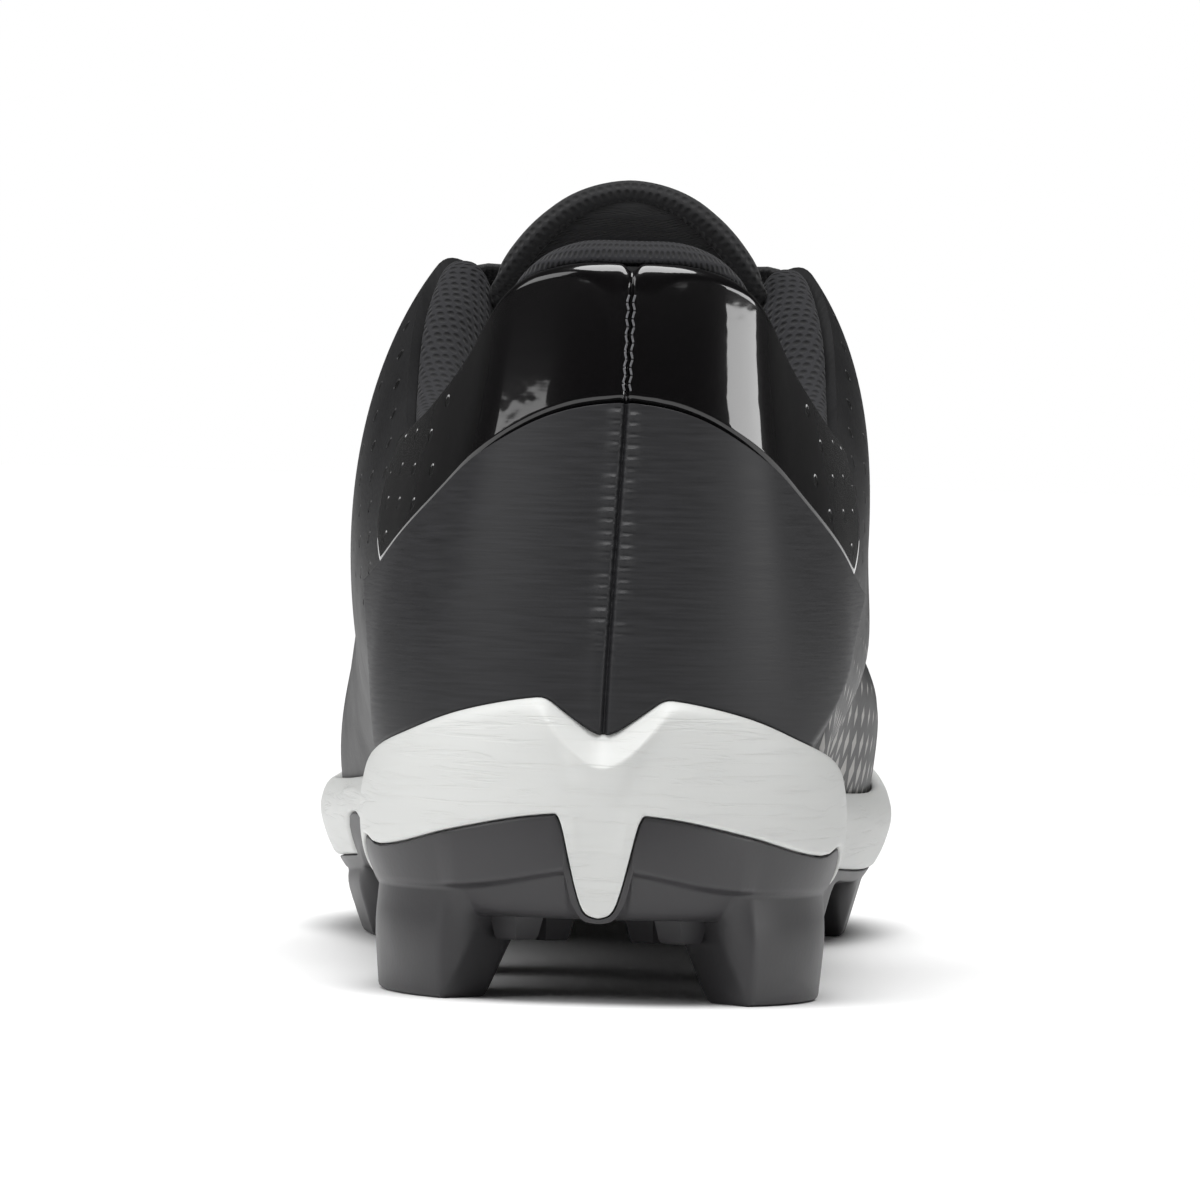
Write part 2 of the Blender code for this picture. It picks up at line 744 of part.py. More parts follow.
# Tongue and lace
def tongue_sections():
    y = column(TONGUE, "y")
    z = column(TONGUE, "z")
    way = np.stack([np.gradient(y), np.gradient(z)], axis=1)
    way /= np.linalg.norm(way, axis=1)[:, None]
    across = np.concatenate([np.linspace(-1, 1, 7), np.linspace(1, -1, 7)[1:-1]])
    side = np.concatenate([np.zeros(7), np.ones(5)])
    sections = []
    for row, (way_y, way_z) in zip(TONGUE, way):
        down = row.drop * across**2 + side * row.thickness * (1 - 0.5 * across**2)
        x = along(RIDGE, "offset", row.y) + row.half_width * across
        sections.append(np.stack([x, row.y - down * way_z, row.z + down * way_y], axis=1))
    return sections


def build_tongue():
    mesh = bmesh.new()
    loft_body(mesh, tongue_sections())
    add_piece("tongue", mesh)


def lace_strand(start, end, lift):
    """Sections of a flat strand from one lace hole, over the throat, to another."""
    out = OVERLAY_GAP + EYESTAY_THICKNESS + LACE_CLEARANCE + LACE_THICKNESS / 2 + lift
    sides = []
    for near, far in ((start, end), (end, start)):
        shares = np.array([0.0, 0.1, 0.2])
        turns = near + shares * np.sign(near) * (abs(far) - abs(near))
        heights = EYELET_PLACE - 0.02 + shares / 0.2 * (1.02 - EYELET_PLACE)
        sides.append((upper_point(turns, heights, out), upper_normal(turns, heights)))
    (first, first_up), (last, last_up) = sides
    middle_up = first_up[-1] + last_up[-1]
    middle_up /= np.linalg.norm(middle_up)
    middle = (first[-1] + last[-1]) / 2 + LACE_LIFT * middle_up
    centres = np.concatenate([first, [middle], last[::-1]])
    ups = np.concatenate([first_up, [middle_up], last_up[::-1]])
    flats = np.cross(ups, np.gradient(centres, axis=0))
    flats /= np.linalg.norm(flats, axis=1)[:, None]
    corners = ((-0.5, -0.5), (-0.5, 0.5), (0.5, 0.5), (0.5, -0.5))
    edges = [centres + LACE_WIDTH * a * flats + LACE_THICKNESS * b * ups for a, b in corners]
    return np.swapaxes(edges, 0, 1)


def build_lace():
    pairs = [(-EYELETS[-1], EYELETS[-1])]
    for above, below in zip(EYELETS, EYELETS[1:]):
        pairs += [(-below, above), (below, -above)]
    lace = None
    for number, (start, end) in enumerate(pairs):
        mesh = bmesh.new()
        loft_body(mesh, lace_strand(start, end, number % 2 * LACE_OVER))
        if lace is None:
            lace = add_piece("lace", mesh)
        else:
            add_boolean(lace, add_cutter(f"lace_strand_{number}", mesh), "UNION")


# Assembly
def clear_scene():
    for thing in list(bpy.data.objects):
        bpy.data.objects.remove(thing)


def centre_on_origin():
    """Hangs every piece from one empty that puts the sole's middle at the origin."""
    middle = (EDGE_POINTS.min(axis=0) + EDGE_POINTS.max(axis=0)) / 2 * MM
    shoe = bpy.data.objects.new("shoe", None)
    shoe.location = (-middle[0], -middle[1], 0.0)
    pieces = list(bpy.context.scene.collection.objects)
    bpy.context.scene.collection.objects.link(shoe)
    for piece in pieces:
        piece.parent = shoe


def main():
    clear_scene()
    build_outsole()
    build_midsole()
    build_insole()
    eyelets = eyelet_cutter()
    build_upper(eyelets)
    build_heel_counter()
    build_collar_panel()
    build_eyestay(eyelets)
    build_collar_lining()
    build_tongue()
    build_lace()
    centre_on_origin()


if __name__ == "__main__":
    main()
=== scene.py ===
"""Looks of a left softball cleat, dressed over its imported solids.

Tables and sizes are in millimetres, measured from the back of the heel as in the part's source.
Places round the shoe are given by "turn": 0 at the back of the heel, -1 to 0 along the outer
side, 0 to 1 along the inner side, and both -1 and 1 at the tip of the toe.
"""

import functools
import math
from collections import namedtuple

import bmesh
import bpy
import numpy as np
from bpy.props import FloatProperty, FloatVectorProperty, PointerProperty
from mathutils import Matrix, Vector


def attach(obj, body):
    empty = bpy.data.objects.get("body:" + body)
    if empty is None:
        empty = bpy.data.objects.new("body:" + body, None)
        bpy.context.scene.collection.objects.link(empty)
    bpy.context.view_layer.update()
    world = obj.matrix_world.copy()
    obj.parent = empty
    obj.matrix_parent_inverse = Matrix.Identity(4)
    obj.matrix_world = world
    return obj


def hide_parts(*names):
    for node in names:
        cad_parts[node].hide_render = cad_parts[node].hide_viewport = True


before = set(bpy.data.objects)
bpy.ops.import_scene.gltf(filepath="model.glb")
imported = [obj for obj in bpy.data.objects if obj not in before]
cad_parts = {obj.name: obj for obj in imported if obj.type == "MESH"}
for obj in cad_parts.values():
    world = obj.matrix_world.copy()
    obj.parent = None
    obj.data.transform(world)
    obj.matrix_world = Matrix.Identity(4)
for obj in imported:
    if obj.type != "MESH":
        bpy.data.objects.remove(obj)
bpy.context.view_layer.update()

bl_info = {
    "name": "Softball cleat looks",
    "version": (1, 0, 0),
    "blender": (4, 5, 0),
    "location": "3D View > Sidebar > Cleat",
    "description": "Dresses the solids of a softball cleat in their finished surfaces",
    "category": "Object",
}

MM = 0.001
BODY = "root"
WELD = 0.002

# Sizes shared with the solids
LENGTH = 272.0
HEEL_ROUND = 38.0
TOE_ROUND = 82.0
END_POWER = 2.3
GAP = 0.3
LAYER_GAP = 0.45
OVERLAY_GAP = 0.5
OUTSOLE_THICKNESS = 3.2
OUTSOLE_INSET = 0.4
WALL_TUCK = 5.0
WALL_ROUND = 13.0
CUP_INNER = 0.82
CUP_LEDGE = 0.95
RIM_THICKNESS = 2.6
SPINE_HEEL = 26.0
SPINE_TOE = 34.0
LEG_BOTTOM = 12.6
LEG_LOW_HALF_WIDTH = 2.6
LEG_SLOPE = 4.9
WRAP_HEIGHT = 6.5
INSOLE_THICKNESS = 3.5
INSOLE_CLEARANCE = 0.6
UPPER_INSET = 5.0
WALL = 2.2
EYESTAY_THICKNESS = 1.1
LACE_CLEARANCE = 0.3

# Places shared with the solids: turns round the shoe, or shares of the upper's height
WRAP_PLACE = -0.50
WRAP_HALF_WIDTH = 0.030
TOPLINE = 0.985
EYELET_PLACE = 0.905
EYELETS = np.linspace(0.45, 0.70, 6)

# Sizes of the finish
NOTCH_DEPTH = 7.0
NOTCH_HALF_WIDTH = 9.2
NOTCH_ROUND = 2.2
NOTCH_CHAMFER = 3.2
NOTCH_PROUD = 2.0
STUD_RAMP = 3.6
STUD_SOFTNESS = 0.22
STUD_OUTER_INSET = 2.6
STUD_FOOT_INSET = 3.4
STUD_FOOT_DEPTH = 0.66
FOREFOOT_STUD_INSETS = (2.2, 3.0)
FOREFOOT_FOOT_INSET = 4.2
TOOTH_ROOT = 1.4
PLATE_REACH = 22.0
PLATE_EDGE_INSET = 8.5
CUP_FOOT_INSET = 6.0
CUP_RUN = 50.0
CUP_LIP = 16.2
CUP_LIP_RISE = 3.2
CUP_LIP_REACH = 14.0
CUP_LIP_HEIGHT = 0.7
CUP_LIP_OUT = 0.9
CUP_LIP_IN = 0.8
SEAM_DEPTH = 0.7
SEAM_HALF_WIDTH = 0.38
SEAM_SWELL = 0.26
PUCKER_PITCH = 1.55
SEAM_STITCH = 0.62
SEAM_STITCH_HEIGHTS = (85.4, 100.5)
SEAM_STITCH_SCALE = 0.6
SEAM_STITCH_SLANT = 0.12
LEG_ROUND = 0.9
EDGE_OUT = 0.28
COUNTER_OUT = 1.6
COUNTER_ROWS = 170
PUCKER_START = 46.0
PANEL_OUT = 1.3
PANEL_ROWS = 64
PANEL_SEAM = 0.6
CURL_IN = -1.0
CURL_ROWS = 9
CURL_TURN = 102.0
EYESTAY_OUT = 1.6
EYESTAY_END_ROUND = 12.0
EYELET_SIDES = 20
PIN_HALF_LENGTH = 5.0
EYESTAY_STITCHES = (0.10, 0.19)
STITCH_SHARE = 0.78
STITCH_POINTS = 6
ROLL_END = 9.0
TONGUE_TOP = 14.0
BINDING_REACH = 62.0
BINDING_HALF_SIZE = (1.9, 1.7)
BINDING_UP = (0.0, -0.55, 0.83)
LACE_SAG = 1.6
LACE_POINTS = 60
LACE_GATHER = 18
LACE_HOLE_HALF_WIDTH = 1.5
LACE_HOLE_HALF_HEIGHT = 1.0
LACE_THREAD = 0.9
INSOLE_THREAD = 1.4

# Places of the finish: turns round the shoe, or shares of the upper's height
FOREFOOT_START = 0.42
COUNTER_LOW_REACHES = (0.180, 0.128)
COUNTER_HIGH_REACH = 0.263
PANEL_LOW_REACHES = (0.205, 0.205)
PANEL_HIGH_REACH = 0.258
PANEL_BULGE = 0.02
THROAT_TOP = 0.405
EYESTAY_STITCH_START = 0.44
DIAMONDS_START = 0.09
DIAMONDS_END = 0.76
DIAMONDS_TOP = 0.42

# Studio, in metres and degrees
STANCE_TURN = 1.45
STANCE_LEAN = 1.6
EYE_FROM_HEEL = (0.0456, -1.150, 0.075)
SIGHT = (-0.0390, 1.0, -0.0158)
LENS = 248.0
SENSOR_WIDTH = 36.0
FLOOR_RADIUS = 40.0
FLOOR_SIDES = 64
ROOM_STRENGTH = 0.05
SUN_STRENGTH = 3.7
SUN_SPREAD = 45.0
SUN_TILT = (9.0, 2.0, 0.0)
LAMP_TARGET = (0.0, -0.11, 0.06)

Softbox = namedtuple("Softbox", "name size place watts lights_matt")
SOFTBOXES = (
    Softbox("outer_softbox", (1.5, 1.0), (-1.30, -0.80, 0.96), 14.0, True),
    Softbox("inner_softbox", (0.95, 0.26), (1.14, -0.42, 0.31), 5.6, False),
)

Plan = namedtuple("Plan", "share half_width centre")
PLAN = (
    Plan(0.00, 35.0, 0.0),
    Plan(0.14, 35.0, 0.0),
    Plan(0.25, 33.6, -0.8),
    Plan(0.36, 32.6, -2.4),
    Plan(0.46, 34.8, -3.8),
    Plan(0.56, 40.2, -3.8),
    Plan(0.64, 44.6, -2.8),
    Plan(0.72, 46.4, -1.2),
    Plan(0.80, 46.4, 0.5),
    Plan(0.90, 46.4, 3.0),
    Plan(1.00, 46.4, 5.0),
)

Level = namedtuple("Level", "share plate footbed")
LEVELS = (
    Level(0.00, 11.8, 27.0),
    Level(0.15, 11.5, 26.5),
    Level(0.28, 12.5, 25.0),
    Level(0.42, 13.0, 22.5),
    Level(0.55, 11.0, 20.0),
    Level(0.70, 8.8, 18.0),
    Level(0.85, 10.0, 20.0),
    Level(1.00, 15.5, 26.0),
)

Edge = namedtuple("Edge", "turn parting rim")
EDGES = (
    Edge(0.000, 27.2, 43.6),
    Edge(0.030, 26.6, 43.2),
    Edge(0.070, 24.2, 41.0),
    Edge(0.110, 21.6, 37.6),
    Edge(0.135, 21.2, 36.0),
    Edge(0.152, 22.4, 35.0),
    Edge(0.175, 17.5, 33.5),
    Edge(0.200, 14.8, 32.0),
    Edge(0.300, 14.6, 29.8),
    Edge(0.420, 15.2, 28.2),
    Edge(0.550, 13.2, 25.6),
    Edge(0.680, 11.4, 24.6),
    Edge(0.800, 12.8, 27.4),
    Edge(0.900, 16.2, 31.5),
    Edge(1.000, 19.5, 34.0),
)

Stud = namedtuple("Stud", "start end depth")
STUDS = (
    Stud(22.0, 56.0, 18.0),
    Stud(82.0, 106.0, 15.0),
    Stud(172.0, 194.0, 17.0),
    Stud(212.0, 236.0, 18.0),
    Stud(254.0, 280.0, 18.0),
)

Tooth = namedtuple("Tooth", "x y size bottom")
TEETH = (
    Tooth(11.6, 15.5, 7.5, 8.4),
    Tooth(7.6, 27.0, 8.0, 7.8),
    Tooth(9.0, 168.0, 9.0, 4.0),
    Tooth(10.0, 200.0, 9.0, 3.5),
    Tooth(10.0, 228.0, 9.0, 5.0),
)

Section = namedtuple("Section", "turn top_y top_x top_z rise flare drop spread")
SECTIONS = (
    Section(0.000, 9.5, 0.0, 103.5, 24.0, 5.0, 26.0, -1.0),
    Section(0.050, 11.0, 10.5, 103.0, 24.0, 5.0, 26.0, -0.5),
    Section(0.085, 15.0, 17.0, 100.0, 24.0, 5.0, 24.0, 0.5),
    Section(0.120, 24.0, 21.5, 91.5, 22.0, 5.0, 20.0, 1.5),
    Section(0.160, 36.0, 26.0, 85.0, 20.0, 5.5, 18.0, 3.0),
    Section(0.210, 51.0, 29.5, 81.0, 20.0, 6.5, 17.0, 4.5),
    Section(0.260, 66.0, 31.5, 79.8, 20.0, 8.5, 17.0, 6.5),
    Section(0.310, 82.0, 32.0, 86.0, 22.0, 11.0, 18.0, 9.0),
    Section(0.360, 95.0, 31.0, 99.0, 24.0, 13.0, 21.0, 12.0),
    Section(0.400, 105.0, 27.5, 106.5, 25.0, 14.0, 20.0, 16.0),
    Section(0.440, 115.0, 22.0, 104.5, 26.0, 13.5, 16.0, 18.5),
    Section(0.500, 131.0, 17.5, 94.0, 26.0, 11.5, 12.0, 19.0),
    Section(0.580, 153.0, 14.0, 80.5, 25.0, 8.5, 8.0, 18.5),
    Section(0.660, 173.0, 11.5, 69.0, 24.0, 6.0, 5.0, 19.0),
    Section(0.740, 185.0, 8.5, 63.5, 23.0, 4.5, 4.0, 21.0),
    Section(0.860, 191.0, 4.5, 61.0, 21.0, 3.5, 5.0, 28.0),
    Section(1.000, 193.0, 0.0, 60.0, 20.0, 3.0, 8.0, 34.0),
)

Ridge = namedtuple("Ridge", "share offset")
RIDGE = (
    Ridge(0.00, 2.4),
    Ridge(0.10, 2.0),
    Ridge(0.25, 0.8),
    Ridge(0.38, 0.2),
    Ridge(0.50, 0.4),
    Ridge(0.72, 1.5),
    Ridge(1.00, 3.0),
)

Arch = namedtuple("Arch", "turn height")
ARCH = (
    Arch(0.00, 84.2),
    Arch(0.05, 81.8),
    Arch(0.09, 76.0),
    Arch(0.12, 71.0),
    Arch(0.16, 65.0),
    Arch(0.20, 60.5),
    Arch(0.30, 56.0),
    Arch(1.00, 56.0),
)

Facing = namedtuple("Facing", "turn edge")
FACINGS = (
    Facing(0.00, 0.72),
    Facing(0.38, 0.72),
    Facing(0.50, 0.74),
    Facing(0.66, 0.77),
    Facing(0.76, 0.81),
    Facing(0.86, 0.86),
    Facing(1.00, 0.88),
)

Padding = namedtuple("Padding", "turn thickness")
PADDING = (
    Padding(0.00, 7.0),
    Padding(0.25, 7.5),
    Padding(0.33, 9.5),
    Padding(0.37, 9.5),
    Padding(0.39, 7.0),
    Padding(0.405, 4.0),
    Padding(1.00, 3.0),
)

TongueRow = namedtuple("TongueRow", "y z half_width drop thickness")
TONGUE = (
    TongueRow(199.0, 54.0, 15.0, 2.4, 2.6),
    TongueRow(188.0, 57.6, 18.0, 3.4, 3.0),
    TongueRow(172.0, 66.0, 20.0, 5.0, 3.6),
    TongueRow(152.0, 78.4, 21.0, 6.0, 4.2),
    TongueRow(132.0, 90.6, 20.5, 7.0, 5.0),
    TongueRow(116.0, 101.0, 19.5, 7.5, 6.0),
    TongueRow(106.0, 108.0, 19.2, 7.2, 7.0),
    TongueRow(101.0, 112.0, 19.0, 7.0, 7.0),
    TongueRow(98.0, 114.8, 18.8, 6.8, 6.5),
    TongueRow(96.2, 117.0, 18.6, 6.6, 6.0),
)
TONGUE_SHIFT = 0.8

Swell = namedtuple("Swell", "turn level out")
SWELLS = (
    Swell(0.40, 0.26, 4.0),
    Swell(0.66, 0.34, 2.4),
)

Trough = namedtuple("Trough", "y depth width")
TROUGHS = (
    Trough(204.0, 0.45, 3.5),
    Trough(192.0, 0.35, 3.0),
    Trough(198.0, -0.25, 3.0),
)

RollTop = namedtuple("RollTop", "rise inward")
ROLL_TOP = (
    RollTop(0.6, 0.12),
    RollTop(2.4, 0.20),
    RollTop(3.6, 0.55),
    RollTop(1.8, 0.95),
)

RollSide = namedtuple("RollSide", "share thickness")
ROLL_OUTSIDE = (0.55, 0.72, 0.88, 1.0)
ROLL_INSIDE = (
    RollSide(0.92, 1.00),
    RollSide(0.76, 0.75),
    RollSide(0.55, 0.30),
)

LaceStep = namedtuple("LaceStep", "turn_share rise")
LACE_STEPS = (
    LaceStep(0.00, 0.000),
    LaceStep(0.00, 0.000),
    LaceStep(0.04, 0.012),
    LaceStep(0.10, 0.045),
    LaceStep(0.20, 0.115),
)

Zone = namedtuple("Zone", "turn_from turn_to share_from share_to")
UPPER_PINHOLES = (
    Zone(0.24, 0.40, 0.50, 0.97),
    Zone(0.66, 1.01, 0.36, 0.84),
)
PANEL_PINHOLES = Zone(0.13, 0.235, 0.18, 0.86)


# Curves through the tables
def hermite(stations, values, at):
    """Smooth curve through the stations, held level beyond both ends."""
    slopes = np.gradient(values, stations)
    at = np.clip(at, stations[0], stations[-1])
    low = np.clip(np.searchsorted(stations, at, side="right") - 1, 0, len(stations) - 2)
    span = stations[low + 1] - stations[low]
    t = (at - stations[low]) / span
    rise = values[low + 1] - values[low]
    bend = span * (slopes[low] * (1 - t) - slopes[low + 1] * t) + rise * (2 * t - 1)
    return values[low] + rise * t + t * (1 - t) * bend


def column(table, name):
    return np.array([getattr(row, name) for row in table], float)


def along(table, name, y):
    """A table's value at a distance y from the heel."""
    return hermite(column(table, "share"), column(table, name), np.asarray(y) / LENGTH)


FINE_TURNS = np.linspace(-1.3, 1.3, 2601)
SMOOTHING_STEPS = 40


@functools.lru_cache(maxsize=None)
def fine_curve(table, name, mirrored, softness):
    """A table's values close together round the shoe, with their bends evened out."""
    stations = column(table, "turn")
    values = column(table, name)
    stations = np.concatenate([-stations[:0:-1], stations])
    values = np.concatenate([mirrored * values[:0:-1], values])
    stations = np.concatenate([stations[-5:-1] - 2, stations, stations[1:5] + 2])
    values = np.concatenate([values[-5:-1], values, values[1:5]])
    fine = hermite(stations, values, FINE_TURNS)
    reach = np.arange(-SMOOTHING_STEPS, SMOOTHING_STEPS + 1)
    weights = np.exp(-0.5 * (reach * (FINE_TURNS[1] - FINE_TURNS[0]) / softness) ** 2)
    padded = np.pad(fine, SMOOTHING_STEPS, mode="edge")
    return np.convolve(padded, weights / weights.sum(), mode="valid")


def around(table, name, turn, mirrored=1.0, softness=0.008):
    """A table's value round the shoe; mirrored is -1 where the outer side changes sign."""
    return np.interp(turn, FINE_TURNS, fine_curve(table, name, mirrored, softness))


def wrapped(turn):
    return (np.asarray(turn) + 1) % 2 - 1


def unit(vectors):
    return vectors / np.linalg.norm(vectors, axis=-1, keepdims=True)


def run_lengths(rows):
    """Distance along a path of points, or along each column of a grid, from its first row."""
    steps = np.linalg.norm(np.diff(rows, axis=0), axis=-1)
    return np.concatenate([np.zeros((1,) + steps.shape[1:]), np.cumsum(steps, axis=0)])


def values_at(rows, runs, at):
    """Rows of values read at distances along them."""
    return np.stack([np.interp(at, runs, values) for values in rows.T], axis=1)


def circle_angles(count):
    return np.linspace(0, math.tau, count + 1)[:-1]


def signed_power(values, power):
    return np.sign(values) * np.abs(values) ** power


def soft_clip(t, softness):
    """Rises from 0 to 1 with t, its two bends rounded over a width."""
    def area(s):
        return np.where(s < 0, 0, np.where(s > 1, s - 0.5, 0.5 * s * s))

    return (area(t + softness / 2) - area(t - softness / 2)) / softness


def soft_least(first, second, softness):
    """The lower of two values, blended where they are close."""
    share = np.clip(0.5 + 0.5 * (second - first) / softness, 0, 1)
    return second + (first - second) * share - softness * share * (1 - share)


def hump(distance, width):
    return np.exp(-((distance / width) ** 2))


def fade(distance, width):
    """Rises softly from 0 to 1 over a width."""
    share = np.clip(distance / width, 0, 1)
    return share * share * (3 - 2 * share)


# The sole's edge, seen from above
def half_width(y):
    heel = (1 - (1 - np.clip(y / HEEL_ROUND, 0, 1)) ** END_POWER) ** (1 / END_POWER)
    toe = (1 - (1 - np.clip((LENGTH - y) / TOE_ROUND, 0, 1)) ** END_POWER) ** (1 / END_POWER)
    return along(PLAN, "half_width", y) * heel * toe


def edge_table():
    """Turn, point and outward direction along the sole's edge, from toe to heel to toe."""
    y = LENGTH * (1 - np.cos(np.linspace(0, np.pi, 1441))) / 2
    turns = []
    points = []
    for side in (-1, 1):
        line = np.stack([along(PLAN, "centre", y) + side * half_width(y), y], axis=1)
        run = run_lengths(line)
        turns.append(side * run / run[-1])
        points.append(line)
    turns = np.concatenate([turns[0][:0:-1], turns[1]])
    points = np.concatenate([points[0][:0:-1], points[1]])
    ahead = np.concatenate([points[1:], points[1:2]])
    behind = np.concatenate([points[-2:-1], points[:-1]])
    way = unit(ahead - behind)
    return turns, points, np.stack([way[:, 1], -way[:, 0]], axis=1), run[-1]


EDGE_TURNS, EDGE_POINTS, EDGE_NORMALS, HALF_ROUND = edge_table()
MIDDLE = np.append((EDGE_POINTS.min(axis=0) + EDGE_POINTS.max(axis=0)) / 2, 0.0)


def sole_edge(turn):
    """(point, outward direction) on the sole's edge, each with two columns."""
    turn = np.asarray(turn, float)
    point = [np.interp(turn, EDGE_TURNS, EDGE_POINTS[:, axis]) for axis in (0, 1)]
    normal = [np.interp(turn, EDGE_TURNS, EDGE_NORMALS[:, axis]) for axis in (0, 1)]
    return np.stack(point, axis=-1), unit(np.stack(normal, axis=-1))


def spaced_runs(end, marks, close, wide):
    """Runs from 0 to end: close together within a reach of each mark, wide apart elsewhere."""
    runs = [0.0]
    while runs[-1] < end - wide / 2:
        nearest = min((abs(runs[-1] - mark) - reach for mark, reach in marks), default=end)
        runs.append(runs[-1] + np.interp(nearest, [0, 3 * wide], [close, wide]))
    return np.array(runs) * end / runs[-1]


def both_sides(turns):
    return np.concatenate([-turns[:0:-1], turns[:-1]])


def sole_turns():
    marks = [(0.0, 9.0)]
    for stud in STUDS:
        marks += [(stud.start, 2.5), (stud.end, 2.5)]
    return spaced_runs(HALF_ROUND, marks, 0.45, 3.0) / HALF_ROUND


# Heights of the sole round its edge
def rim_height(turn):
    run = np.sqrt((np.asarray(turn) * HALF_ROUND) ** 2 + NOTCH_ROUND**2)
    notch = soft_clip(1 - run / NOTCH_HALF_WIDTH, 0.25)
    return around(EDGES, "rim", turn, softness=0.005) - NOTCH_DEPTH * notch


def parting_height(turn, wider=0.0):
    """Lower edge of the white midsole; wider makes room round its leg for the outsole."""
    run = np.abs(turn) * HALF_ROUND - wider
    beside = around(EDGES, "parting", turn, softness=0.004)
    beside = beside + WRAP_HEIGHT * np.exp(-(((turn - WRAP_PLACE) / WRAP_HALF_WIDTH) ** 4))
    side = run - LEG_LOW_HALF_WIDTH
    leg = LEG_BOTTOM - 0.8 + LEG_SLOPE * (side + np.sqrt(side**2 + LEG_ROUND**2)) / 2
    return soft_least(leg, beside, 4.0)


def wall_offset(turn, height):
    """How far the sole's side stands in from its widest line at a height."""
    point, _ = sole_edge(turn)
    above = (height - along(LEVELS, "plate", point[:, 1])) / WALL_ROUND
    return -WALL_TUCK * (1 - np.clip(above, 0, 1)) ** 2


# The upper's own surface
def upper_ribs(turn):
    """The four control points of the upper's rib at each turn, from its base to its edge."""
    edge, normal = sole_edge(turn)
    base = edge - UPPER_INSET * normal
    top_y = around(SECTIONS, "top_y", turn)
    top_x = around(SECTIONS, "top_x", turn, -1.0) + along(RIDGE, "offset", top_y)
    top = np.stack([top_x, top_y], axis=-1)
    low = along(LEVELS, "footbed", base[..., 1]) + GAP
    high = around(SECTIONS, "top_z", turn)
    flare = around(SECTIONS, "flare", turn)[..., None] * normal
    spread = around(SECTIONS, "spread", turn)[..., None] * normal
    flat = (base, base + flare, top + spread, top)
    heights = (
        low,
        low + around(SECTIONS, "rise", turn),
        high - around(SECTIONS, "drop", turn),
        high,
    )
    return [np.concatenate([p, h[..., None]], axis=-1) for p, h in zip(flat, heights)]


def inner_fullness(turn, height_share):
    """How far the low inner side of the arch and ball stands out, in millimetres."""
    total = 0.0
    for swell in SWELLS:
        level = hump(height_share - swell.level, 0.16) * fade(height_share, 0.12)
        total = total + swell.out * level * hump(turn - swell.turn, 0.12)
    return total


def upper_skin(turn, height_share):
    turn, height_share = np.broadcast_arrays(wrapped(turn), height_share)
    base, low, high, top = upper_ribs(turn)
    t = height_share[..., None]
    skin = (1 - t) ** 3 * base + 3 * t * (1 - t) ** 2 * low + 3 * t * t * (1 - t) * high + t**3 * top
    skin[..., :2] += inner_fullness(turn, height_share)[..., None] * sole_edge(turn)[1]
    return skin


def upper_normal(turn, height_share):
    small = 2e-3
    round_way = upper_skin(turn + small, height_share) - upper_skin(turn - small, height_share)
    up_way = upper_skin(turn, height_share + small) - upper_skin(turn, height_share - small)
    return unit(np.cross(round_way, up_way))


def upper_point(turn, height_share, out=0.0):
    turn = np.asarray(turn, float)
    height_share = np.asarray(height_share, float)
    out = np.asarray(out, float)[..., None]
    return upper_skin(turn, height_share) + out * upper_normal(turn, height_share)


def share_at_height(turn, height):
    """Height share at which the upper's skin reaches a height, for each turn."""
    shares = np.linspace(0, 1, 81)
    levels = upper_skin(np.ravel(turn)[:, None], shares[None, :])[..., 2]
    levels = np.maximum.accumulate(levels, axis=1)
    found = [np.interp(one, row, shares) for one, row in zip(np.ravel(height), levels)]
    return np.reshape(found, np.shape(turn))


# Meshes from grids of points
def rounded(corners, cuts, steps=4):
    """Rows of points along the line through rows of corners, each inner corner cut round."""
    rows = [corners[0]]
    for before, corner, after, cut in zip(corners, corners[1:], corners[2:], cuts):
        ends = []
        for other in (before, after):
            way = other - corner
            length = np.maximum(np.linalg.norm(way, axis=-1, keepdims=True), 1e-6)
            ends.append(corner + way * np.minimum(cut / length, 0.45))
        for t in np.linspace(0, 1, steps):
            rows.append((1 - t) ** 2 * ends[0] + 2 * t * (1 - t) * corner + t * t * ends[1])
    rows.append(corners[-1])
    return np.array(rows)


def smooth_line(points, count, closed=False):
    """More points on a smooth line through rows of points, along the first axis."""
    points = np.asarray(points, float)
    if closed:
        points = np.concatenate([points[-2:], points, points[:3]])
    places = np.arange(len(points)) - (2.0 if closed else 0.0)
    end = len(points) - 5 if closed else len(points) - 1
    at = np.linspace(0, end, count, endpoint=not closed)
    shape = (-1,) + (1,) * (points.ndim - 1)
    low = np.clip(np.searchsorted(places, at, side="right") - 1, 0, len(points) - 2)
    t = (at - places[low]).reshape(shape)
    slopes = np.gradient(points, axis=0)
    rise = points[low + 1] - points[low]
    bend = slopes[low] * (1 - t) - slopes[low + 1] * t + rise * (2 * t - 1)
    return points[low] + rise * t + t * (1 - t) * bend


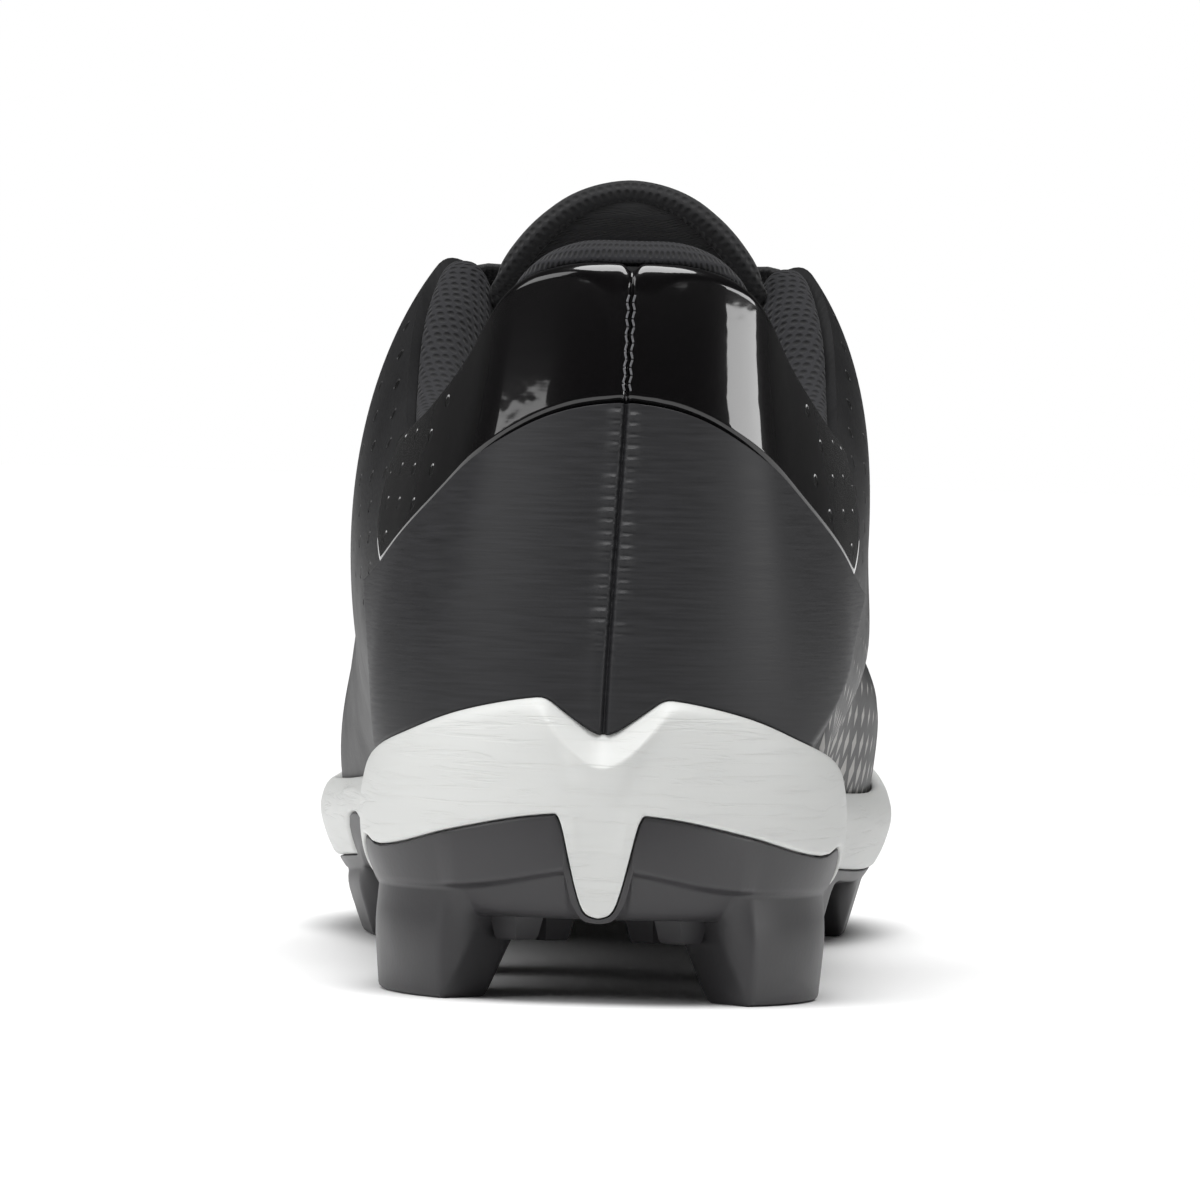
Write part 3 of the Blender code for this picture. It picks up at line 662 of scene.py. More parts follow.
def grid_mesh(rows, runs, closed_rows=False, closed_columns=False, capped=False, upright=False):
    """Mesh through a grid of points.

    Its UV map is in millimetres: along the grid and across it, or along it and upright.
    """
    rows = np.asarray(rows, float)
    row_count, column_count = rows.shape[:2]
    r = np.arange(row_count if closed_rows else row_count - 1)
    c = np.arange(column_count if closed_columns else column_count - 1)
    r, c = np.meshgrid(r, c, indexing="ij")
    next_r = (r + 1) % row_count
    next_c = (c + 1) % column_count
    ups = rows[..., 2] if upright else run_lengths(rows)
    runs = np.broadcast_to(runs, ups.shape)
    faces = []
    places = []
    for one_r, one_c in ((r, c), (r, next_c), (next_r, next_c), (next_r, c)):
        faces.append(one_r * column_count + one_c)
        turn_on = np.where((one_c == 0) & (c == column_count - 1), 2 * HALF_ROUND, 0.0)
        places.append(np.stack([runs[one_r, one_c] + turn_on, ups[one_r, one_c]], axis=-1))
    faces = np.stack(faces, axis=-1).reshape(-1, 4).tolist()
    places = np.stack(places, axis=-2).reshape(-1, 2).tolist()
    if capped:
        for side, step in ((0, 1), (column_count - 1, -1)):
            cap = [row * column_count + side for row in range(row_count)][::step]
            faces.append(cap)
            places += [(0.0, 0.0)] * row_count
    return rows.reshape(-1, 3), faces, places


def face_outwards(data, weld=None):
    """Turns a mesh's faces outwards and shades it smooth, with points closer than weld joined first."""
    work = bmesh.new()
    work.from_mesh(data)
    if weld:
        bmesh.ops.remove_doubles(work, verts=work.verts, dist=weld * MM)
    bmesh.ops.recalc_face_normals(work, faces=work.faces)
    work.to_mesh(data)
    work.free()
    data.shade_smooth()


def add_piece(name, mesh, material, node=None):
    """An object with the mesh, in metres about the shoe's middle, riding on the shoe."""
    points, faces, places = mesh
    data = bpy.data.meshes.new(name)
    data.from_pydata(((points - MIDDLE) * MM).tolist(), [], faces)
    layer = data.uv_layers.new(name="Surface")
    layer.uv.foreach_set("vector", np.ravel(places).astype(np.float32))
    face_outwards(data, weld=WELD)
    data.materials.append(material)
    piece = bpy.data.objects.new(name, data)
    bpy.context.scene.collection.objects.link(piece)
    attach(piece, BODY)
    if node:
        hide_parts(node)
    return piece


def join_meshes(meshes):
    """One mesh from several."""
    points = []
    faces = []
    places = []
    count = 0
    for one_points, one_faces, one_places in meshes:
        points.append(one_points)
        faces += [[corner + count for corner in face] for face in one_faces]
        places += list(one_places)
        count += len(one_points)
    return np.concatenate(points), faces, places


def apply_modifiers(piece):
    """Keeps the mesh that a piece's modifiers give, and takes them off."""
    bpy.context.view_layer.update()
    shown = piece.evaluated_get(bpy.context.evaluated_depsgraph_get())
    data = bpy.data.meshes.new_from_object(shown)
    piece.modifiers.clear()
    piece.data = data


def join_or_cut(piece, mesh, operation):
    """Joins a mesh to a piece, or cuts it away."""
    points, faces, _ = mesh
    data = bpy.data.meshes.new("tool")
    data.from_pydata(((points - MIDDLE) * MM).tolist(), [], faces)
    face_outwards(data)
    tool = bpy.data.objects.new("tool", data)
    bpy.context.scene.collection.objects.link(tool)
    modifier = piece.modifiers.new(operation, "BOOLEAN")
    modifier.operation = operation
    modifier.solver = "EXACT"
    modifier.object = tool
    apply_modifiers(piece)
    bpy.data.objects.remove(tool)


def soften_edges(piece, width, angle=50.0):
    """Rounds a piece's sharp edges by a width in millimetres."""
    bevel = piece.modifiers.new("soft_edges", "BEVEL")
    bevel.width = width * MM
    bevel.segments = 2
    bevel.limit_method = "ANGLE"
    bevel.angle_limit = math.radians(angle)
    apply_modifiers(piece)
    piece.data.shade_smooth()


def mark(piece, name, values):
    """Keeps a number for each point of a piece, which its material reads."""
    attribute = piece.data.attributes.new(name, "FLOAT", "POINT")
    attribute.data.foreach_set("value", np.ravel(values).astype(np.float32))


# Materials
def linear(hex_colour):
    """Linear colour with alpha from an sRGB hex value."""
    parts = [int(hex_colour[i : i + 2], 16) / 255 for i in (1, 3, 5)]
    parts = [c / 12.92 if c <= 0.04045 else ((c + 0.055) / 1.055) ** 2.4 for c in parts]
    return (*parts, 1.0)


def link_inputs(tree, node, links):
    for name, output in links.items():
        tree.links.new(output, node.inputs[name])


def add_node(tree, kind, settings=None, links=None):
    """Adds a node, sets its inputs and attributes, and links its inputs."""
    node = tree.nodes.new(kind)
    for name, value in (settings or {}).items():
        if isinstance(name, str) and name not in node.inputs:
            setattr(node, name, value)
        else:
            node.inputs[name].default_value = value
    link_inputs(tree, node, links or {})
    return node


def new_material(name, settings):
    material = bpy.data.materials.new(name)
    material.use_nodes = True
    tree = material.node_tree
    tree.nodes.clear()
    shader = add_node(tree, "ShaderNodeBsdfPrincipled", settings)
    add_node(tree, "ShaderNodeOutputMaterial", None, {"Surface": shader.outputs[0]})
    return material, tree, shader


def shaded(tree, colour, pattern, low, high, pattern_span=(0.0, 1.0)):
    """A colour that a pattern makes darker and lighter, between two shares of its brightness."""
    start, end = pattern_span
    shade = add_node(
        tree,
        "ShaderNodeMapRange",
        {"From Min": start, "From Max": end, "To Min": low, "To Max": high},
        {"Value": pattern},
    )
    tint = add_node(tree, "ShaderNodeHueSaturation", {"Color": colour}, {"Value": shade.outputs[0]})
    return tint.outputs[0]


def per_mm(size):
    """Scale of a pattern with a size in millimetres, for a texture placed in metres."""
    return 1 / (size * MM)


def moulded_rubber(colours):
    """Moulded rubber: satin dark grey, duller in broad patches, with a fine grit from the mould."""
    material, tree, shader = new_material("moulded_rubber", {"IOR": 1.52})
    place = add_node(tree, "ShaderNodeTexCoord").outputs["Object"]
    # Patches of 14 mm
    patch = add_node(
        tree,
        "ShaderNodeTexNoise",
        {"Scale": per_mm(14.0), "Detail": 4.0},
        {"Vector": place},
    )
    dull = add_node(
        tree,
        "ShaderNodeMapRange",
        {"To Min": 0.34, "To Max": 0.56},
        {"Value": patch.outputs[0]},
    )
    tint = shaded(tree, colours.rubber, patch.outputs[0], 0.8, 1.2)
    # Grit of about 0.2 mm is drawn at 0.7 mm, so that it shows
    grit = add_node(tree, "ShaderNodeTexNoise", {"Scale": per_mm(0.7), "Detail": 2.0}, {"Vector": place})
    bump = add_node(
        tree,
        "ShaderNodeBump",
        {"Strength": 0.25, "Distance": 0.08 * MM},
        {"Height": grit.outputs[0]},
    )
    links = {
        "Base Color": tint,
        "Roughness": dull.outputs[0],
        "Normal": bump.outputs[0],
    }
    link_inputs(tree, shader, links)
    return material


def moulded_foam(colours):
    """Moulded EVA foam: an off-white skin with fine level wrinkles, and soft light inside."""
    settings = {"Roughness": 0.48, "IOR": 1.45, "Subsurface Weight": 0.12, "Subsurface Scale": 1.5 * MM}
    settings["Subsurface Radius"] = (1.0, 0.9, 0.8)
    material, tree, shader = new_material("moulded_foam", settings)
    place = add_node(tree, "ShaderNodeUVMap", {"uv_map": "Surface"}).outputs[0]
    # Wrinkles 14 mm long and 1.1 mm apart
    level = add_node(tree, "ShaderNodeMapping", {"Scale": (1 / 14.0, 1 / 1.1, 1.0)}, {"Vector": place})
    wrinkle = add_node(
        tree,
        "ShaderNodeTexNoise",
        {"Scale": 1.0, "Detail": 5.0, "Distortion": 0.8},
        {"Vector": level.outputs[0]},
    )
    crease = add_node(
        tree,
        "ShaderNodeMapRange",
        {"From Min": 0.36, "From Max": 0.46},
        {"Value": wrinkle.outputs[0]},
    )
    # Pores of about 0.2 mm are drawn at 0.45 mm, so that they show
    pores = add_node(tree, "ShaderNodeTexNoise", {"Scale": 1 / 0.45, "Detail": 2.0}, {"Vector": place})
    fine = add_node(
        tree,
        "ShaderNodeBump",
        {"Strength": 0.12, "Distance": 0.1 * MM},
        {"Height": pores.outputs[0]},
    )
    bump = add_node(
        tree,
        "ShaderNodeBump",
        {"Strength": 0.35, "Distance": 0.22 * MM},
        {"Height": crease.outputs[0], "Normal": fine.outputs[0]},
    )
    tint = shaded(tree, colours.foam, wrinkle.outputs[0], 0.95, 1.02)
    link_inputs(tree, shader, {"Base Color": tint, "Normal": bump.outputs[0]})
    return material


def streaked_synthetic(colours):
    """Brushed synthetic leather: charcoal, with short level streaks that catch the light."""
    material, tree, shader = new_material("streaked_synthetic", {"IOR": 1.38})
    place = add_node(tree, "ShaderNodeUVMap", {"uv_map": "Surface"}).outputs[0]
    # Streaks 10 mm long and 0.53 mm apart
    level = add_node(tree, "ShaderNodeMapping", {"Scale": (1 / 10.0, 1 / 0.53, 1.0)}, {"Vector": place})
    streak = add_node(
        tree,
        "ShaderNodeTexNoise",
        {"Scale": 1.0, "Detail": 5.0},
        {"Vector": level.outputs[0]},
    )
    dull = add_node(
        tree,
        "ShaderNodeMapRange",
        {"To Min": 0.40, "To Max": 0.62},
        {"Value": streak.outputs[0]},
    )
    tint = shaded(tree, colours.counter, streak.outputs[0], 0.75, 1.25, (0.3, 0.7))
    bump = add_node(
        tree,
        "ShaderNodeBump",
        {"Strength": 0.3, "Distance": 0.1 * MM},
        {"Height": streak.outputs[0]},
    )
    links = {
        "Base Color": tint,
        "Roughness": dull.outputs[0],
        "Normal": bump.outputs[0],
    }
    link_inputs(tree, shader, links)
    return material


def pinholes(tree, place, sizes):
    """Share of a pinhole at each place: staggered rows of round holes."""
    pitch = sizes.pinhole_pitch / MM
    staggered = add_node(
        tree,
        "ShaderNodeMapping",
        {"Scale": (1 / pitch, 1 / pitch, 1.0), "Rotation": (0.0, 0.0, math.radians(45.0))},
        {"Vector": place},
    )
    cell = add_node(
        tree,
        "ShaderNodeTexVoronoi",
        {"voronoi_dimensions": "2D", "Scale": 1.0, "Randomness": 0.0},
        {"Vector": staggered.outputs[0]},
    )
    radius = sizes.pinhole_radius / sizes.pinhole_pitch
    hole = add_node(
        tree,
        "ShaderNodeMapRange",
        {"From Min": radius, "From Max": 0.7 * radius},
        {"Value": cell.outputs["Distance"]},
    )
    zone = add_node(tree, "ShaderNodeAttribute", {"attribute_name": "pinholes"})
    return add_node(
        tree,
        "ShaderNodeMath",
        {"operation": "MULTIPLY"},
        {0: hole.outputs[0], 1: zone.outputs["Fac"]},
    )


def patent_synthetic(colours, sizes):
    """Patent synthetic: black under a clear, wet-looking coat that shows the lamps, barely waved."""
    base = {"Roughness": 0.3, "IOR": 1.2}
    coat = {"Coat Weight": 1.0, "Coat Roughness": 0.05, "Coat IOR": 1.55}
    material, tree, shader = new_material("patent_synthetic", base | coat)
    place = add_node(tree, "ShaderNodeUVMap", {"uv_map": "Surface"}).outputs[0]
    hole = pinholes(tree, place, sizes)
    # Pinholes painted a little darker: painted shade inside the holes
    tint = add_node(
        tree,
        "ShaderNodeMix",
        {"data_type": "RGBA", 6: colours.patent, 7: linear("#020202")},
        {0: hole.outputs[0]},
    )
    # Waves of 6.2 mm
    wave = add_node(tree, "ShaderNodeTexNoise", {"Scale": 1 / 6.2, "Detail": 2.0}, {"Vector": place})
    # Brush lines 5 mm long and 0.77 mm apart under the coat
    level = add_node(tree, "ShaderNodeMapping", {"Scale": (1 / 5.0, 1 / 0.77, 1.0)}, {"Vector": place})
    line = add_node(
        tree,
        "ShaderNodeTexNoise",
        {"Scale": 1.0, "Detail": 0.5},
        {"Vector": level.outputs[0]},
    )
    soft = add_node(
        tree,
        "ShaderNodeBump",
        {"Strength": 0.12, "Distance": 0.5 * MM},
        {"Height": wave.outputs[0]},
    )
    brushed = add_node(
        tree,
        "ShaderNodeBump",
        {"Strength": 0.04, "Distance": 0.05 * MM},
        {"Height": line.outputs[0], "Normal": soft.outputs[0]},
    )
    pit = add_node(
        tree,
        "ShaderNodeBump",
        {"Strength": 0.5, "Distance": 0.35 * MM, "invert": True},
        {"Height": hole.outputs[0], "Normal": brushed.outputs[0]},
    )
    links = {"Base Color": tint.outputs[2], "Normal": pit.outputs[0], "Coat Normal": pit.outputs[0]}
    link_inputs(tree, shader, links)
    return material


def matt_synthetic(colours, sizes):
    """Matt synthetic leather: near-black, with a pebbled grain, raised diamonds and pinholes, the holes
    painted near-black as painted shade.
    """
    material, tree, shader = new_material("matt_synthetic", {"IOR": 1.36})
    place = add_node(tree, "ShaderNodeUVMap", {"uv_map": "Surface"}).outputs[0]
    hole = pinholes(tree, place, sizes)
    # Grain of about 0.6 mm is drawn at 0.9 mm, so that it shows
    grain = add_node(
        tree,
        "ShaderNodeTexVoronoi",
        {"voronoi_dimensions": "2D", "Scale": 1 / 0.9},
        {"Vector": place},
    )
    # Diamonds repeat every 4.8 mm along the shoe and 6.6 mm up it
    turned = add_node(
        tree,
        "ShaderNodeMapping",
        {"Scale": (1 / 4.8, 1 / 6.6, 1.0), "Rotation": (0.0, 0.0, math.radians(45.0))},
        {"Vector": place},
    )
    cell = add_node(
        tree,
        "ShaderNodeTexVoronoi",
        {"voronoi_dimensions": "2D", "distance": "CHEBYCHEV", "Scale": 1.0, "Randomness": 0.0},
        {"Vector": turned.outputs[0]},
    )
    zone = add_node(tree, "ShaderNodeAttribute", {"attribute_name": "diamonds"})
    reach = add_node(
        tree,
        "ShaderNodeMath",
        {"operation": "MULTIPLY", 1: 0.40},
        {0: zone.outputs["Fac"]},
    )
    inside = add_node(
        tree,
        "ShaderNodeMath",
        {"operation": "SUBTRACT"},
        {0: reach.outputs[0], 1: cell.outputs["Distance"]},
    )
    diamond = add_node(
        tree,
        "ShaderNodeMapRange",
        {"From Min": 0.0, "From Max": 0.06},
        {"Value": inside.outputs[0]},
    )
    # Mottles of 8.3 mm
    mottle = add_node(tree, "ShaderNodeTexNoise", {"Scale": 1 / 8.3, "Detail": 4.0}, {"Vector": place})
    tint = shaded(tree, colours.quarter, mottle.outputs[0], 0.75, 1.25)
    pale = add_node(
        tree,
        "ShaderNodeMix",
        {"data_type": "RGBA", 7: colours.diamond},
        {0: diamond.outputs[0], 6: tint},
    )
    # Pinholes painted near-black: painted shade inside the holes
    painted_hole_shade = add_node(
        tree,
        "ShaderNodeMix",
        {"data_type": "RGBA", 7: linear("#040404")},
        {0: hole.outputs[0], 6: pale.outputs[2]},
    )
    gloss = add_node(
        tree,
        "ShaderNodeMapRange",
        {"To Min": 0.40, "To Max": 0.56},
        {"Value": mottle.outputs[0]},
    )
    fine = add_node(
        tree,
        "ShaderNodeBump",
        {"Strength": 0.22, "Distance": 0.12 * MM},
        {"Height": grain.outputs["Distance"]},
    )
    raised = add_node(
        tree,
        "ShaderNodeBump",
        {"Strength": 0.6, "Distance": 0.3 * MM},
        {"Height": diamond.outputs[0], "Normal": fine.outputs[0]},
    )
    pit = add_node(
        tree,
        "ShaderNodeBump",
        {"Strength": 1.0, "Distance": 0.5 * MM, "invert": True},
        {"Height": hole.outputs[0], "Normal": raised.outputs[0]},
    )
    links = {
        "Base Color": painted_hole_shade.outputs[2],
        "Roughness": gloss.outputs[0],
        "Normal": pit.outputs[0],
    }
    link_inputs(tree, shader, links)
    return material


def spacer_mesh(name, colour, sizes):
    """Spacer mesh: a soft charcoal knit whose rows of small open holes are painted near-black, as
    painted shade inside them.
    """
    settings = {"Roughness": 0.85, "IOR": 1.45, "Sheen Weight": 0.06, "Sheen Roughness": 0.5}
    material, tree, shader = new_material(name, settings)
    place = add_node(tree, "ShaderNodeUVMap", {"uv_map": "Surface"}).outputs[0]
    pitch = sizes.mesh_pitch / MM
    rows = add_node(
        tree,
        "ShaderNodeMapping",
        {"Scale": (1 / pitch, 1 / (1.3 * pitch), 1.0)},
        {"Vector": place},
    )
    cell = add_node(
        tree,
        "ShaderNodeTexVoronoi",
        {"voronoi_dimensions": "2D", "Scale": 1.0, "Randomness": 0.12},
        {"Vector": rows.outputs[0]},
    )
    open_share = add_node(
        tree,
        "ShaderNodeMapRange",
        {"From Min": 0.12, "From Max": 0.42},
        {"Value": cell.outputs["Distance"]},
    )
    # Yarn of 0.33 mm
    yarn = add_node(tree, "ShaderNodeTexNoise", {"Scale": 1 / 0.33, "Detail": 3.0}, {"Vector": place})
    tint = shaded(tree, colour, yarn.outputs[0], 0.8, 1.25)
    # The open holes painted near-black: painted shade inside them
    mixed = add_node(
        tree,
        "ShaderNodeMix",
        {"data_type": "RGBA", 6: linear("#08080a")},
        {0: open_share.outputs[0], 7: tint},
    )
    bump = add_node(
        tree,
        "ShaderNodeBump",
        {"Strength": 0.8, "Distance": 0.4 * MM},
        {"Height": open_share.outputs[0]},
    )
    link_inputs(tree, shader, {"Base Color": mixed.outputs[2], "Normal": bump.outputs[0]})
    return material


def woven_cloth(name, colour, thread):
    """Plain woven polyester: two sets of threads cross; each thread's crown is painted paler as painted
    highlight, and the hollows between darker as painted shade.

    Threads of about 0.4 mm are drawn wider, at the given width, so that they show. A wave texture
    repeats every tau / 20 at a scale of 1.
    """
    settings = {"Roughness": 0.8, "IOR": 1.45, "Sheen Weight": 0.25, "Sheen Roughness": 0.5}
    material, tree, shader = new_material(name, settings)
    place = add_node(tree, "ShaderNodeUVMap", {"uv_map": "Surface"}).outputs[0]
    heights = []
    for direction in ("X", "Y"):
        band = add_node(
            tree,
            "ShaderNodeTexWave",
            {"bands_direction": direction, "Scale": math.tau / (20 * thread), "Distortion": 0.6},
            {"Vector": place},
        )
        heights.append(band.outputs["Fac"])
    weave = add_node(tree, "ShaderNodeMath", {"operation": "MULTIPLY"}, {0: heights[0], 1: heights[1]})
    # Crowns painted paler and hollows darker: painted highlight and painted shade
    tint = shaded(tree, colour, weave.outputs[0], 0.6, 1.3)
    bump = add_node(
        tree,
        "ShaderNodeBump",
        {"Strength": 0.6, "Distance": 0.25 * MM},
        {"Height": weave.outputs[0]},
    )
    link_inputs(tree, shader, {"Base Color": tint, "Normal": bump.outputs[0]})
    return material


def sewing_thread(colour):
    """Spun polyester thread: a dull twist with a little sheen, painted lighter and darker along the
    twist as painted highlight and shade.
    """
    material, tree, shader = new_material(
        "sewing_thread",
        {"Roughness": 0.45, "IOR": 1.5, "Sheen Weight": 0.3},
    )
    place = add_node(tree, "ShaderNodeUVMap", {"uv_map": "Surface"}).outputs[0]
    # A twist of 0.5 mm
    twist = add_node(
        tree,
        "ShaderNodeTexWave",
        {"bands_direction": "DIAGONAL", "Scale": math.tau / (20 * 0.5)},
        {"Vector": place},
    )
    # Painted highlight and shade along the twist
    tint = shaded(tree, colour, twist.outputs["Fac"], 0.7, 1.2)
    link_inputs(tree, shader, {"Base Color": tint})
    return material


# Sole
def spine_points(turns):
    """Points along the middle of the sole, one for each column on a side."""
    y = SPINE_HEEL + turns * (LENGTH - SPINE_HEEL - SPINE_TOE)
    return np.stack([along(PLAN, "centre", y), y], axis=1)


def inward(turns, flat, share):
    """A ring drawn in towards the spine: 1 at the ring, 0 at the spine."""
    line = spine_points(np.abs(turns))
    return line + share * (flat - line)


def at_height(flat, heights):
    return np.concatenate([flat, np.reshape(heights, (-1, 1))], axis=1)


def level_ring(turns, flat, share, name, lift=0.0):
    """A ring drawn in towards the spine, at a height of the level table."""
    flat = inward(turns, flat, share)
    return at_height(flat, along(LEVELS, name, flat[:, 1]) + lift)


def side_ring(turns, heights, inset=0.0):
    flat, normal = sole_edge(turns)
    return at_height(flat + (wall_offset(turns, heights) - inset)[:, None] * normal, heights)


def studs_at(turns):
    """(share of a stud, depth of the nearest stud, share along it) at each column of the sole."""
    runs = np.abs(turns) * HALF_ROUND
    share = np.zeros(len(runs))
    for stud in STUDS:
        inside = np.minimum(runs - stud.start, stud.end - runs) / STUD_RAMP
        share = np.maximum(share, soft_clip(inside, STUD_SOFTNESS))
    middles = [(stud.start + stud.end) / 2 for stud in STUDS]
    marks = [run for stud in STUDS for run in (stud.start, stud.end)]
    along_stud = np.interp(runs, marks, [0.0, 1.0] * len(STUDS))
    return share, np.interp(runs, middles, column(STUDS, "depth")), along_stud


def outsole_rows(turns):
    """Rows of the outsole from the middle of its underside, out, up and in to its middle on top."""
    edge, normal = sole_edge(turns)
    stud, depth, along_stud = studs_at(turns)
    plate = along(LEVELS, "plate", edge[:, 1])
    parting = parting_height(turns, GAP / 2) - GAP / 2

    def corner(inset, height, stud_inset, stud_height):
        inset = inset + stud * (stud_inset - inset)
        height = height + stud * (stud_height - height)
        return at_height(edge - inset[:, None] * normal, height)

    run = np.abs(turns) * HALF_ROUND
    lip = CUP_LIP + CUP_LIP_RISE * hump(run, CUP_LIP_REACH)
    heel = (1 - fade(run - CUP_RUN, 10.0)) * fade(parting - lip - 0.8, 3.0)
    middle_height = plate + 0.5 * (parting - plate)
    middle_height = middle_height + heel * (lip - middle_height)
    on_lip = OUTSOLE_INSET - heel * CUP_LIP_OUT * (1 - stud)
    under_lip = OUTSOLE_INSET + heel * CUP_LIP_IN * (1 - 0.6 * stud)
    forefoot = fade(np.abs(turns) - FOREFOOT_START, 0.1)
    outer_side, inner_side = FOREFOOT_STUD_INSETS
    outer = STUD_OUTER_INSET + forefoot * np.where(turns > 0, inner_side, outer_side)
    foot_outer = STUD_FOOT_INSET + forefoot * FOREFOOT_FOOT_INSET
    foot_inner = depth * (STUD_FOOT_DEPTH + 0.2 * along_stud)
    corners = [
        corner(PLATE_REACH, plate, PLATE_REACH, plate),
        corner(depth + 2.0, plate, depth + 1.6, plate),
        corner(depth - 2.0, plate, foot_inner, 0.0),
        corner(PLATE_EDGE_INSET, plate, foot_outer, 0.0),
        corner(CUP_FOOT_INSET, plate + 0.4, outer, 0.8 * plate),
        side_ring(turns, middle_height - CUP_LIP_HEIGHT, under_lip),
        side_ring(turns, middle_height, on_lip),
        side_ring(turns, parting, OUTSOLE_INSET),
        at_height(inward(turns, side_ring(turns, parting)[:, :2], CUP_LEDGE), parting),
    ]
    lip_round = 2.6 - 2.0 * heel[:, None]
    cuts = (2.6, 0.9, 0.9, 2.4, 0.5, lip_round, 0.6)
    rows = list(rounded(corners, cuts))
    inner = [level_ring(turns, rows[0][:, :2], share, "plate") for share in (0.0, 0.35, 0.7)]
    lift = OUTSOLE_THICKNESS - LAYER_GAP
    ledge = side_ring(turns, parting_height(turns))[:, :2]
    top = [level_ring(turns, ledge, share, "plate", lift) for share in (CUP_INNER, 0.5, 0.0)]
    return np.array(inner + rows + top)


def tooth_block(tooth, side):
    """A small faceted tooth under the middle of the sole, its foot drawn in."""
    half = tooth.size / 2
    x = along(PLAN, "centre", tooth.y) + side * tooth.x
    corners = ((0, -half), (half, -half / 4), (half / 2, half), (-half / 2, half), (-half, -half / 4))
    count = len(corners)
    outline = np.array(corners)
    root = along(LEVELS, "plate", tooth.y) + TOOTH_ROOT
    levels = ((0.55, tooth.bottom), (0.72, tooth.bottom), (0.82, tooth.bottom + 0.5), (1.1, root))
    rows = []
    for share, height in levels:
        rows.append(at_height(share * outline + (x, tooth.y), np.full(count, height)))
    last = len(rows) * count - 1
    faces = [list(range(count)), list(range(last, last - count, -1))]
    for start in range(0, last - count, count):
        for i in range(count):
            j = (i + 1) % count
            faces.append([start + i, start + j, start + count + j, start + count + i])
    return np.concatenate(rows), faces, []


def build_outsole(colours):
    turns = both_sides(sole_turns())
    mesh = grid_mesh(outsole_rows(turns), turns * HALF_ROUND, closed_columns=True)
    piece = add_piece("outsole_rubber", mesh, moulded_rubber(colours), "outsole")
    teeth = [tooth_block(tooth, side) for tooth in TEETH for side in (-1, 1)]
    join_or_cut(piece, join_meshes(teeth), "UNION")
    piece.data.set_sharp_from_angle(angle=math.radians(38.0))


def build_midsole(colours):
    turns = both_sides(sole_turns())
    parting = parting_height(turns)
    rim = rim_height(turns)
    edge = side_ring(turns, parting)
    by_notch = np.exp(-((turns * HALF_ROUND / (0.95 * NOTCH_HALF_WIDTH)) ** 4))
    corners = [at_height(inward(turns, edge[:, :2], CUP_LEDGE), parting), edge]
    for share in (0.25, 0.60):
        corners.append(side_ring(turns, parting + share * (rim - parting)))
    low = 1.2 + NOTCH_CHAMFER * by_notch
    out = GAP + RIM_THICKNESS + NOTCH_PROUD * by_notch
    corners.append(upper_point(turns, share_at_height(turns, rim - low), out))
    out = GAP + (0.45 - 0.2 * by_notch) * RIM_THICKNESS
    corners.append(upper_point(turns, share_at_height(turns, rim), out))
    inner_share = share_at_height(turns, rim - 0.7)
    corners.append(upper_point(turns, inner_share, GAP))
    corners.append(upper_point(turns, inner_share / 2, GAP))
    base = upper_point(turns, np.zeros(len(turns)), GAP)[:, :2]
    corners.append(level_ring(turns, base, 1.0, "footbed"))
    fold = 1.3 - 0.9 * by_notch[:, None]
    rows = list(rounded(corners, (0.9, 3.0, 4.0, fold, 0.7, 0.4, 2.0), 5))
    flat = edge[:, :2]
    shares = (0.0, 0.5, CUP_INNER)
    bottom = [level_ring(turns, flat, share, "plate", OUTSOLE_THICKNESS) for share in shares]
    top = [level_ring(turns, base, share, "footbed") for share in (0.6, 0.0)]
    rows = np.array(bottom + rows + top)
    mesh = grid_mesh(rows, turns * HALF_ROUND, closed_columns=True, upright=True)
    piece = add_piece("midsole_foam", mesh, moulded_foam(colours), "midsole")
    piece.data.set_sharp_from_angle(angle=math.radians(60.0))


def build_insole(colours):
    turns = both_sides(spaced_runs(HALF_ROUND, [], 2.0, 2.5) / HALF_ROUND)
    edge = upper_point(turns, np.zeros(len(turns)), -WALL - INSOLE_CLEARANCE)[:, :2]
    low = GAP
    high = GAP + INSOLE_THICKNESS
    corners = [level_ring(turns, edge, 0.6, "footbed", low)]
    corners.append(level_ring(turns, edge, 1.0, "footbed", low))
    corners.append(level_ring(turns, edge, 1.0, "footbed", high))
    corners.append(level_ring(turns, edge, 0.6, "footbed", high))
    rows = list(rounded(corners, (0.8, 1.2)))
    ends = [level_ring(turns, edge, 0.0, "footbed", height) for height in (low, high)]
    mesh = grid_mesh(np.array([ends[0]] + rows + [ends[1]]), turns * HALF_ROUND, closed_columns=True)
    material = woven_cloth("sockliner_knit", colours.insole, INSOLE_THREAD)
    piece = add_piece("insole_cloth", mesh, material, "insole")


# Upper and the panels on it
def flex_troughs(turns, shares):
    """Soft troughs where the forefoot bends, in millimetres into the upper."""
    y = upper_skin(turns, shares)[..., 1]
    side = np.clip(shares / 0.5, 0, 1)
    return side * sum(trough.depth * hump(y - trough.y, trough.width) for trough in TROUGHS)


def in_zone(zone, reach, shares):
    """True in a zone that both sides of the shoe have."""
    round_shoe = (reach > zone.turn_from) & (reach < zone.turn_to)
    return round_shoe & (shares > zone.share_from) & (shares < zone.share_to)


